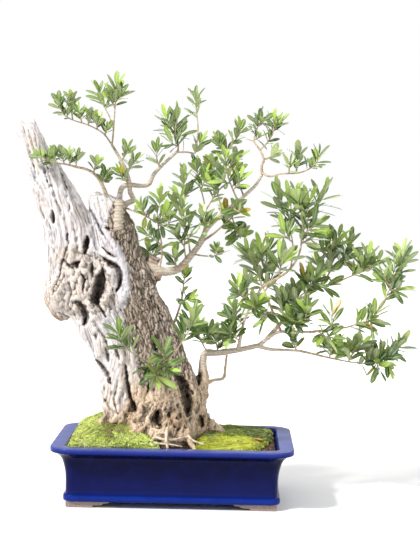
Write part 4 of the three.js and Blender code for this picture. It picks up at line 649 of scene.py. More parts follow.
SMOOTH_VEIN = RAISED[0][2:]
HEART_MIDDLE = [(-140, 348), (-116, 325), (-116, 290), (-138, 300), (-168, 300)]  # rotted out lumpy
HEART_STAIN = [(-150, 345), (-122, 330), (-112, 300), (-150, 290), (-172, 295)]  # and stained tan
CRUST_LINE = [(-182, 268), (-166, 256), (-156, 256)]  # brown rot under the hanging burl
BURL_GAP = (-150, 262)  # x and height of the gap between the hanging burl and the column
BURL_GAP_REACH = 13
BURL_GAP_DEPTH = (9, 0, 8)
FOOT_FLARE = 13  # how far the column's foot spreads to the left
FIRST_GRID = 2.1  # millimetres between the points of the first even mesh
FINE_GRID = 1.42  # and of the last
WOOD_TRIANGLES = 192000
LIMB_MARGIN = 2.5  # wood this far outside a limb's radius still belongs to it
LIMB_SLIMMING = 0.38  # the plain solid's limbs shrink by this into the finer ones
LUMP_SWELL, FOLD_SWELL = 2.6, 3.6  # millimetres of each kind of swelling, and of relief below
KNOB_SWELL, RIDGE_SWELL = 2.6, 2.8
FLUTE_SWELL = 2.3
WOBBLE_SWELL = 0.7
FIBRE_DEPTH, BROAD_FIBRE_DEPTH = 0.75, 0.8
PLATE_DEPTH, FLAKE_DEPTH = 0.8, 1.9
CRUMB_DEPTH, CRUMBLE_DEPTH = 0.4, 3.2
HEART_DEPTH = 1.7
LIMB_DEPTH = 0.25
GRAIN_BEND = 5
SILVER = (0.60, 0.59, 0.615)
SILVER_TAN = (0.53, 0.455, 0.40)
# bluish painted shade for the grooves of the silver wood
SILVER_PAINTED_SHADE = (0.33, 0.325, 0.375)
# bluish painted shade for the smooth vein, which faces away from the window
VEIN_PAINTED_SHADE = (0.45, 0.45, 0.49)
HEART_TAN = (0.49, 0.435, 0.385)
LINE_TAN = (0.27, 0.19, 0.15)
CRUST_BROWN = (0.17, 0.075, 0.025)
BARK_GREY = (0.235, 0.185, 0.145)
BARK_PALE = (0.48, 0.42, 0.37)
BARK_CRACK = (0.060, 0.042, 0.030)
FOOT_WARM = (0.40, 0.29, 0.195)
FOOT_PALE = (0.66, 0.55, 0.43)
LIMB_TAN = (0.44, 0.34, 0.235)
# near-black painted shade for the deepest hollows
HOLLOW_PAINTED_SHADE = (0.028, 0.018, 0.012)


def soft_step(values, low, high):
    """0 below low, 1 above high, and a soft step between."""
    share = np.clip((values - low) / (high - low), 0, 1)
    return share * share * (3 - 2 * share)


def line_reach(points, line):
    """For each point its distance from a bent line, and how far along and where the line is nearest."""
    line = np.array(line, float)
    best = np.full(len(points), 1e9)
    along = np.zeros(len(points))
    nearest = np.zeros_like(points)
    done = 0.0
    for start, end in zip(line[:-1], line[1:]):
        way = end - start
        length = np.linalg.norm(way)
        share = np.clip((points - start) @ way / length ** 2, 0, 1)
        reach = np.linalg.norm(points - start - share[:, None] * way, axis=1)
        nearer = reach < best
        best[nearer] = reach[nearer]
        along[nearer] = done + share[nearer] * length
        nearest[nearer] = start + share[nearer, None] * way
        done += length
    return best, along, nearest


def x_at_height(line, heights):
    """Where a line given as (x, height) from the top down stands at each height."""
    return np.interp(heights, [height for x, height in line[::-1]], [x for x, height in line[::-1]])


def bumps(points, size, seed=0):
    """Smooth noise between about -1 and 1 at each point; size in millimetres."""
    return np.array([noise.noise((x / size + seed, y / size, z / size)) for x, y, z in points])


def ridges(points, size, seed, sharpness=2.4):
    """Noise that runs up to 1 along crests, with valleys between."""
    return 1 - sharpness * np.abs(bumps(points, size, seed))


def drift(points, sizes, seed):
    """Smooth noise of its own along each axis."""
    return np.stack([bumps(points, size, seed + 10 * axis) for axis, size in enumerate(sizes)], axis=1)


def wobble_of(points):
    """Fine unevenness that frays the edges of the carving."""
    return bumps(points, 5) + 0.6 * bumps(points, 2.4, 3)


def cells(points, size, seed=0):
    """Lumps of one size in millimetres: 0 on the crack between two lumps, rising to about 1 inside."""
    gap = np.empty(len(points))
    for index, (x, y, z) in enumerate(points / size + seed):
        near = noise.voronoi((x, y, z))[0]
        gap[index] = near[1] - near[0]
    return np.clip(gap * 2.2, 0, 1)


def merged_copy(node):
    """A copy of a plain solid's mesh with its loose triangles joined."""
    copy = bmesh.new()
    copy.from_mesh(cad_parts[node].data)
    bmesh.ops.remove_doubles(copy, verts=copy.verts, dist=1e-6)
    bmesh.ops.recalc_face_normals(copy, faces=copy.faces)
    return copy


def read_points(piece):
    """Vertices of a piece in millimetres from the pot's middle, and their normals."""
    points, normals = np.empty((2, len(piece.data.vertices) * 3))
    piece.data.vertices.foreach_get("co", points)
    piece.data.vertex_normals.foreach_get("vector", normals)
    return (points.reshape(-1, 3) - np.array(MIDDLE)) / MM, normals.reshape(-1, 3)


def move_points(piece, points):
    """Puts the vertices of a piece at points in millimetres, and reads them with their new normals."""
    piece.data.vertices.foreach_set("co", (points * MM + np.array(MIDDLE)).ravel())
    piece.data.update()
    return read_points(piece)


def edge_pairs(piece):
    """The two vertices of each edge."""
    pairs = np.empty(len(piece.data.edges) * 2, int)
    piece.data.edges.foreach_get("vertices", pairs)
    return pairs.reshape(-1, 2)


def smoothed(values, pairs, times):
    """Values per vertex averaged with those of the neighbours, several times over."""
    count = np.bincount(pairs.ravel(), minlength=len(values)).astype(float)[:, None]
    flat = values.reshape(len(values), -1)
    for _ in range(times):
        total = np.zeros_like(flat)
        for column in range(flat.shape[1]):
            total[:, column] += np.bincount(pairs[:, 0], flat[pairs[:, 1], column], len(flat))
            total[:, column] += np.bincount(pairs[:, 1], flat[pairs[:, 0], column], len(flat))
        flat = 0.4 * flat + 0.6 * total / np.maximum(count, 1)
    return flat.reshape(values.shape)


def remesh(piece, grid):
    """Evens out the mesh of a piece to squares of one size in millimetres."""
    even = piece.modifiers.new("even", "REMESH")
    even.mode = "VOXEL"
    even.voxel_size = grid * MM
    settle(piece)


def carved_depth(points, carving, wobble):
    """Depth of the carving at each point of the front or back, seen square on: ragged and tapered."""
    depth = np.zeros(len(points))
    for half, deep, *line in carving:
        total = sum(math.dist(a, b) for a, b in zip(line, line[1:]))
        reach, along, _ = line_reach(points[:, [0, 2]], line)
        taper = 0.45 + 0.75 * np.sin(np.pi * np.clip(along / total, 0, 1)) ** 0.8
        ragged = reach + wobble * (0.5 + 0.28 * half)
        share = np.clip(1 - ragged / (half * taper), 0, 1)
        depth = np.maximum(depth, deep * share ** 0.7)
    return depth


def on_side(way, points):
    """1 on the trunk's front with way -1, or on its back with way 1, and 0 on the other side."""
    return soft_step(way * points[:, 1], -6, 4)


def body_share(points):
    """1 on the trunk itself and 0 out on its limbs."""
    near = np.minimum(line_reach(points, DEAD_LINE)[0], line_reach(points, LIVE_LINE)[0])
    far = soft_step(near, 52, 62) * soft_step(points[:, 2], 140, 170)
    on_limb = np.zeros(len(points))
    for base, tip, *line in LIMBS.values():
        reach, along, _ = line_reach(points, line)
        on_limb = np.maximum(on_limb, (reach < base + LIMB_MARGIN) * soft_step(along, 4, 14))
    return 1 - np.maximum(far, on_limb * soft_step(near, 33, 42))


def blend(low, high, share):
    """Colours mixed for each vertex by its own share."""
    return low + np.subtract(high, low) * np.clip(share, 0, 1)[:, None]


def keep_tone(piece, tone):
    """Keeps a colour for each vertex in the piece's own attribute."""
    kept = piece.data.attributes.new("tone", "FLOAT_COLOR", "POINT")
    kept.data.foreach_set("color", np.column_stack([tone, np.ones(len(tone))]).ravel())


trunk = new_piece("trunk_wood", merged_copy("trunk"))
remesh(trunk, FIRST_GRID)

# the plain solid's flat faces are rounded, but not its broken top; its foot spreads, its burl hangs free
points, normals = read_points(trunk)
pairs = edge_pairs(trunk)
body = body_share(points)
rounded = smoothed(points, pairs, 7)
broken_top = soft_step(points[:, 2], 515, 530)
points += (rounded - points) * ((0.25 + 0.75 * body) * (1 - 0.8 * broken_top))[:, None]
points[:, 0] += FOOT_FLARE * (soft_step(-points[:, 2], -138, -104) * soft_step(-points[:, 0], 78, 112))
off_x, off_z = (points[:, 0] - BURL_GAP[0]) / BURL_GAP_REACH, (points[:, 2] - BURL_GAP[1]) / BURL_GAP_REACH
points += np.exp(-(off_x ** 2) - off_z ** 2)[:, None] * BURL_GAP_DEPTH
points, normals = move_points(trunk, points)

# swellings: lumps and folds in the rotted heart, knobs on the foot, flutes along the column
flat = points[:, [0, 2]]
wobble = wobble_of(points)
front = soft_step(-normals[:, 1], 0.05, 0.55) * on_side(-1, points) * body
back = soft_step(normals[:, 1], 0.05, 0.55) * on_side(1, points) * body
lumpy = soft_step(-line_reach(flat, HEART_MIDDLE)[0], -34, -16)
foot = soft_step(-points[:, 2], -210, -150)
above_soil = soft_step(points[:, 2], 96, 112)
warped = points + 2.5 * drift(points, (8, 8, 8), 3)
lumps = cells(warped, 13) - 0.75
knobs = cells(warped * (1, 1, 0.8), 11, 5) - 0.7
ridged = ridges(points * (1, 1, 0.55), 7, 2, sharpness=2)
folded = ridges(warped * (1, 1, 0.7), 9, 17)
flutes = bumps(points * (1, 1, 0.12) + points[:, 2:] * (0.42, 0, 0), 8, 15)
swell = lumpy * (LUMP_SWELL * lumps + FOLD_SWELL * folded)
swell += foot * above_soil * (KNOB_SWELL * knobs + RIDGE_SWELL * ridged)
swell += (1 - lumpy) * (1 - foot) * FLUTE_SWELL * flutes
points += normals * (swell * body + WOBBLE_SWELL * wobble * body)[:, None]

# the limbs shrink, so that the finer ones cover them; then hollows are cut and veins stand out
for base, tip, *line in LIMBS.values():
    reach, along, nearest = line_reach(points, line)
    slim = (reach < base + LIMB_MARGIN) * (1 - body) * soft_step(along, 6, 16)
    points += (nearest - points) * (LIMB_SLIMMING * slim)[:, None]
rise = np.zeros(len(points))
for half, high, *line in RAISED:
    rise = np.maximum(rise, high * np.clip(1 - (line_reach(flat, line)[0] / half) ** 2, 0, 1))
points[:, 1] += front * (carved_depth(points, FRONT_CARVING, wobble) - rise)
points[:, 1] -= back * carved_depth(points, BACK_CARVING, wobble)
move_points(trunk, points)
remesh(trunk, FINE_GRID)
pairs = edge_pairs(trunk)
points, normals = move_points(trunk, smoothed(read_points(trunk)[0], pairs, 1))

# which wood a place is: bare dead wood on the left of the bark's edge, bark on the right of it
flat = points[:, [0, 2]]
body = body_share(points)
limb = 1 - body
front = soft_step(-points[:, 1], -10, 10)
over_edge = points[:, 0] - x_at_height(BARK_EDGE, points[:, 2]) - 8 * (1 - front)
bark = soft_step(over_edge + 2.5 * bumps(points, 6, 9), -3, 4) * body
bare = (1 - bark) * body
foot = soft_step(-points[:, 2] + 6 * bumps(points, 14, 4), -196, -160)
silver_foot = soft_step(-over_edge - 2, 0, 10) * soft_step(points[:, 2], 112, 150)
in_heart = soft_step(-line_reach(flat, HEART_STAIN)[0] + 5 * bumps(points, 26, 91), -38, -16) * front

# grain: place in the wood's own direction, turned and stretched along the column's line
on_left = over_edge < 0
along = np.where(on_left, line_reach(points, DEAD_LINE)[1], line_reach(points, LIVE_LINE)[1])
dead_x, live_x = (x_at_height([(x, z) for x, y, z in line], points[:, 2]) for line in (DEAD_LINE, LIVE_LINE))
across = points[:, 0] - np.where(on_left, dead_x, live_x)
twist = along * 0.006
grain = np.stack([across * np.cos(twist) - points[:, 1] * np.sin(twist),
                  across * np.sin(twist) + points[:, 1] * np.cos(twist), along], axis=1)
bent = grain + np.stack([bumps(points, 30, 7), bumps(points, 30, 17), 0 * along], axis=1) * GRAIN_BEND
squeezed = bent * (1, 1, 0.03)
shaken = grain + drift(points, (6, 6, 8), 3) * (2.2, 2.2, 6.6)
fibres = ridges(squeezed, 3.8, 21)
broad_fibres = ridges(bent * (1, 1, 0.05), 8, 31)
plates = bumps(grain * (1, 1, 0.30), 4.2, 41)
flakes = cells(shaken * (1, 1, 0.27), 4.4, 3)
crumbs = bumps(points, 2.2, 61)
crumbled = ridges(shaken * (1, 1, 0.4), 13, 9, sharpness=1.9) - 0.3 * np.abs(bumps(points, 4.6, 19))

# relief of each kind of wood, down to just under the moss
silver_relief = FIBRE_DEPTH * fibres + BROAD_FIBRE_DEPTH * broad_fibres - 0.2
bark_relief = PLATE_DEPTH * plates + FLAKE_DEPTH * flakes - 1.4
foot_relief = CRUMB_DEPTH * crumbs + CRUMBLE_DEPTH * np.maximum(crumbled, -0.15) - 1.7 + 0.6 * fibres
heart_relief = HEART_DEPTH * ridges(shaken * (1, 1, 0.5), 7.5, 25)
relief = bare * (1 - foot * (1 - silver_foot)) * silver_relief
relief += bark * (1 - 0.5 * foot) * bark_relief
relief += foot * body * (1 - 0.85 * silver_foot) * foot_relief
relief += in_heart * bare * heart_relief
relief += limb * LIMB_DEPTH * bumps(points, 2.6, 81)
points += normals * (relief * soft_step(points[:, 2], 84, 96))[:, None]
points, normals = move_points(trunk, points)

# hollows and cracks, found from how far a place lies below its surroundings, for the painted shade in them
near_dip = ((smoothed(points, pairs, 4) - points) * normals).sum(axis=1)
wide_dip = ((smoothed(points, pairs, 40) - points) * normals).sum(axis=1)
wobble = wobble_of(points)
depth = np.maximum(carved_depth(points, FRONT_CARVING, wobble) * on_side(-1, points),
                   carved_depth(points, BACK_CARVING, wobble) * on_side(1, points)) * body
painted_relief_shade = np.clip(near_dip * 1.3, -0.7, 1) * 0.6 + np.clip(wide_dip / 4.5, -0.5, 1) * 0.55
painted_hollow_shade = np.clip(soft_step(depth, 4, 13) * 0.85 + np.clip(wide_dip - 3.1, 0, 6) / 6, 0, 0.95)

# colours: silver wood, then bark, foot and limbs over it; then painted shade, darker the deeper a place lies,
# and near-black painted shade in the deepest hollows
slow = bumps(points, 26, 91)
streaks = bumps(squeezed, 5.0, 95)
near_vein = soft_step(-line_reach(flat, SMOOTH_VEIN)[0], -15, -6)
in_crust = soft_step(-line_reach(flat, CRUST_LINE)[0] + 4 * crumbs, -9, -3)
silver = blend(SILVER, SILVER_TAN, 0.22 + 0.55 * streaks + 0.5 * slow)
# bluish painted shade in the grooves between the broad fibres
silver = blend(silver, SILVER_PAINTED_SHADE, 0.55 * soft_step(-broad_fibres, -0.35, 0.4))
silver = blend(silver, LINE_TAN, 0.8 * soft_step(-fibres, 0.05, 0.7))
# bluish painted shade on the smooth vein, which faces away from the window
silver = blend(silver, VEIN_PAINTED_SHADE, 0.7 * near_vein * front)
silver = blend(silver, HEART_TAN, in_heart * (0.7 + 0.5 * crumbs))
silver = blend(silver, CRUST_BROWN, 0.8 * in_crust)
bark_tone = blend(BARK_GREY, BARK_PALE, 0.35 + 0.7 * plates + 0.35 * slow + 0.4 * (flakes - 0.5))
bark_tone = blend(bark_tone, BARK_CRACK, np.clip(1 - flakes * 2.6, 0, 1) * 0.9)
foot_tone = blend(FOOT_WARM, FOOT_PALE, 0.45 + 0.35 * crumbs + 0.7 * slow)
foot_tone = blend(foot_tone, BARK_CRACK, np.clip(0.1 - crumbled, 0, 0.5) * 1.3)
tone = blend(silver, bark_tone, bark)
tone = blend(tone, foot_tone, foot * (1 - 0.8 * silver_foot))
tone = blend(tone, LIMB_TAN, limb)
# painted shade: darker where a place lies below its surroundings, a little lighter on crests
tone *= (1 - 1.25 * np.clip(painted_relief_shade, -0.2, 0.72))[:, None]
# near-black painted shade in the carved hollows and the deepest dips
tone = blend(tone, HOLLOW_PAINTED_SHADE, painted_hollow_shade)

keep_tone(trunk, np.clip(tone, 0.008, 0.85))
run = trunk.data.attributes.new("grain", "FLOAT_VECTOR", "POINT")
run.data.foreach_set("vector", (grain * MM).ravel())
kinds = trunk.data.attributes.new("bark", "FLOAT", "POINT")
kinds.data.foreach_set("value", np.clip(bark + foot, 0, 1))
lighter = trunk.modifiers.new("lighter", "DECIMATE")  # fewer faces where the wood is smooth
lighter.ratio = WOOD_TRIANGLES / sum(len(face.vertices) - 2 for face in trunk.data.polygons)
lighter.use_collapse_triangulate = True
settle(trunk)
trunk.data.shade_smooth()

wood, tree, shader, place = new_finish("olive_wood", 0.82, 0.25)
painted = add_node(tree, "Attribute", attribute_name="tone").outputs["Color"]
along_grain = add_node(tree, "Attribute", attribute_name="grain").outputs["Vector"]
barky = add_node(tree, "Attribute", attribute_name="bark").outputs["Fac"]
fibre = speckle(tree, along_grain, 900, detail=3, stretch=(1, 1, 0.035))
flake = speckle(tree, along_grain, 520, detail=5, stretch=(1, 1, 0.22))
fine = add_node(tree, "Mix", {"Factor": barky, "A": fibre, "B": flake}).outputs[0]
lined = steps(tree, fine, [(0.28, (0.42, 0.36, 0.31)), (0.46, (0.95, 0.93, 0.91)), (0.7, (1.18, 1.16, 1.13))])
paint(tree, shader, between(tree, 1.0, painted, lined, "MULTIPLY"))
raise_surface(tree, shader, fine, 0.0007, 0.9)
dress(trunk, wood, "wood", "trunk")

# ==== Limbs ====
# Thin live limbs that leave the trunk's shoulder, middle and foot, and the ringed stub of an old
# leader that the crown's two limbs leave. They grew with the trunk and share its wood.
STUB_LINE = [(-86, -10, 380), (-88, -19, 394), (-88, -20, 408), (-87, -14, 424), (-86, -9, 438)]
STUB_RADIUS = 7.6
STUB_FOOT = (6.5, 14)  # how much wider the stub is at its foot, and over how many steps that fades
STUB_RING = (0.9, 1.1)  # height of a growth ring, and turn of its wave for each step
STUB_KNOBBLE = (2.0, 6)  # height and size of its knobs
STUB_TOP = 6.5
STUB_STEP = 1.3
LIMB_STEP = 1.6
LIMB_SHRINK, LIMB_BARK = 0.84, 0.1  # share of the plain limb's radius, and what the bark adds
COLLAR = (0.22, 5)  # swelling where a limb leaves, and over how many steps it fades
KNOBBLE = 0.07
HOOK_SHRINK, HOOK_KNOBBLE = 0.62, 0.3  # the dead hook has lost its bark


def mix(low, high, share):
    return low + (high - low) * share


def square_to(way):
    """A direction square to a stem."""
    helper = Vector((0, 1, 0)) if abs(way.y) < 0.8 else Vector((1, 0, 0))
    return way.cross(helper).normalized()


def curve_through(line, step):
    """Points at an even step on a smooth curve through the given ones."""
    points = [Vector(point) for point in line]
    ends = [points[0] * 2 - points[1]] + points + [points[-1] * 2 - points[-2]]
    fine = []
    for a, b, c, d in zip(ends, ends[1:], ends[2:], ends[3:]):
        count = max(1, round((c - b).length / step))
        for i in range(count):
            t = i / count
            fine.append(0.5 * ((2 * b) + (c - a) * t + (2 * a - 5 * b + 4 * c - d) * t ** 2
                               + (3 * b - a - 3 * c + d) * t ** 3))
    fine.append(points[-1])
    return fine


def grow_tube(bm, line, girths, sides):
    """A round rod through points in millimetres, its radius given at each."""
    ring = edges = None
    for index, (point, girth) in enumerate(zip(line, girths)):
        way = (line[min(index + 1, len(line) - 1)] - line[max(index - 1, 0)]).normalized()
        if ring is None:
            ring = bmesh.ops.create_circle(bm, cap_ends=True, segments=sides, radius=SPECK)["verts"]
            edges = list({edge for vert in ring for edge in vert.link_edges})
            side = square_to(way)
        else:
            ring, edges = extrude_ring(bm, ring, edges)
            side = (side - way * side.dot(way)).normalized()
        face = way.cross(side)
        for corner, vert in enumerate(ring):
            swing = corner * math.tau / sides
            vert.co = placed(*(point + (side * math.cos(swing) + face * math.sin(swing)) * girth))
    bmesh.ops.edgeloop_fill(bm, edges=edges)


def round_piece(name, bm):
    """A piece of closed round rods, shaded smooth."""
    bmesh.ops.recalc_face_normals(bm, faces=bm.faces)
    piece = new_piece(name, bm)
    piece.data.shade_smooth()
    return piece


limbs_bm = bmesh.new()
for limb, (base, tip, *line) in LIMBS.items():
    smooth_line = curve_through(line, LIMB_STEP)
    girths = []
    for i, point in enumerate(smooth_line):
        radius = mix(base, tip, i / (len(smooth_line) - 1)) * LIMB_SHRINK + LIMB_BARK
        knobbly = KNOBBLE * noise.noise(point / 4) + KNOBBLE * noise.noise(point / 11)
        girth = radius * (1 + COLLAR[0] * math.exp(-i / COLLAR[1]) + knobbly)
        if limb == "old_hook":
            girth *= HOOK_SHRINK * (1 + HOOK_KNOBBLE * noise.noise(point / 3))
        girths.append(girth)
    grow_tube(limbs_bm, smooth_line, girths, sides=14)
stub_line = curve_through(STUB_LINE, STUB_STEP)
girths = []
for i, point in enumerate(stub_line):
    ring_height = STUB_RING[0] * math.sin(i * STUB_RING[1])
    knob = STUB_KNOBBLE[0] * noise.noise(point / STUB_KNOBBLE[1])
    girths.append(STUB_RADIUS + STUB_FOOT[0] * math.exp(-i / STUB_FOOT[1]) + ring_height + knob)
grow_tube(limbs_bm, stub_line, girths[:-1] + [STUB_TOP], sides=18)
limbs = round_piece("limbs", limbs_bm)

limb_bark, tree, shader, place = new_finish("limb_bark", 0.8, 0.25)
worn = speckle(tree, place, 90, detail=6)
cracked = speckle(tree, place, 420, detail=5)
smooth_bark = steps(tree, cracked, [
    (0.30, (0.17, 0.12, 0.08)), (0.45, (0.50, 0.41, 0.31)), (0.7, (0.72, 0.64, 0.52))])
smooth_bark = between(tree, worn, smooth_bark, (0.58, 0.52, 0.45))
growth_rings = add_node(tree, "TexWave", {"Vector": place, "Scale": 70, "Distortion": 7, "Detail": 4},
                        bands_direction="Z").outputs["Fac"]
ring_tone = steps(tree, growth_rings, [
    (0.0, (0.74, 0.72, 0.70)), (0.3, (0.93, 0.92, 0.91)), (0.7, (1.0, 1.0, 1.0))])
paint(tree, shader, between(tree, 1.0, smooth_bark, ring_tone, "MULTIPLY"))
raise_surface(tree, shader, cracked, 0.0009, 0.8)
dress(limbs, limb_bark, "wood", "trunk")

# ==== Surface roots ====
# Pale bare roots that grew over the front of the base and dive into the soil. They are part of the
# same living wood as the trunk, thinner and smoother, and taper as they go down.
SURFACE_ROOTS = [  # radius, then the line of the middle
    (2.9, (-6, -56, 120), (-8, -66, 112), (-9, -74, 105), (-9, -85, 95), (-6, -92, 86)),
    (2.5, (-20, -60, 106), (-26, -70, 99), (-32, -82, 92), (-38, -90, 84)),
    (2.2, (-24, -72, 99), (-12, -79, 97), (4, -77, 97), (18, -68, 99), (26, -60, 96)),
    (1.8, (-34, -76, 93), (-20, -84, 92), (-2, -86, 91), (14, -84, 88)),
    (1.7, (20, -62, 102), (30, -72, 95), (46, -76, 90), (60, -76, 84)),
]
ROOT_STEP = 1.8
ROOT_TAPER = 0.35
ROOT_KNOBBLE = 0.16


def grained_finish(name, roughness, specular, grain, detail, tones, relief):
    """A finish of one grain that sets both its tones and its relief."""
    material, tree, shader, place = new_finish(name, roughness, specular)
    grains = speckle(tree, place, grain, detail)
    paint(tree, shader, steps(tree, grains, tones))
    raise_surface(tree, shader, grains, relief, 0.7)
    return material


roots_bm = bmesh.new()
for radius, *line in SURFACE_ROOTS:
    smooth_line = curve_through(line, ROOT_STEP)
    girths = [radius * (1 - ROOT_TAPER * i / len(smooth_line)) * (1 + ROOT_KNOBBLE * noise.noise(point / 4))
              for i, point in enumerate(smooth_line)]
    grow_tube(roots_bm, smooth_line, girths, sides=10)
roots = round_piece("surface_roots", roots_bm)
root_bark = grained_finish("root_bark", 0.8, 0.25, grain=230, detail=5, relief=0.0006, tones=[
    (0.3, (0.24, 0.17, 0.11)), (0.48, (0.62, 0.52, 0.40)), (0.7, (0.76, 0.69, 0.58))])
dress(roots, root_bark, "wood", "trunk")

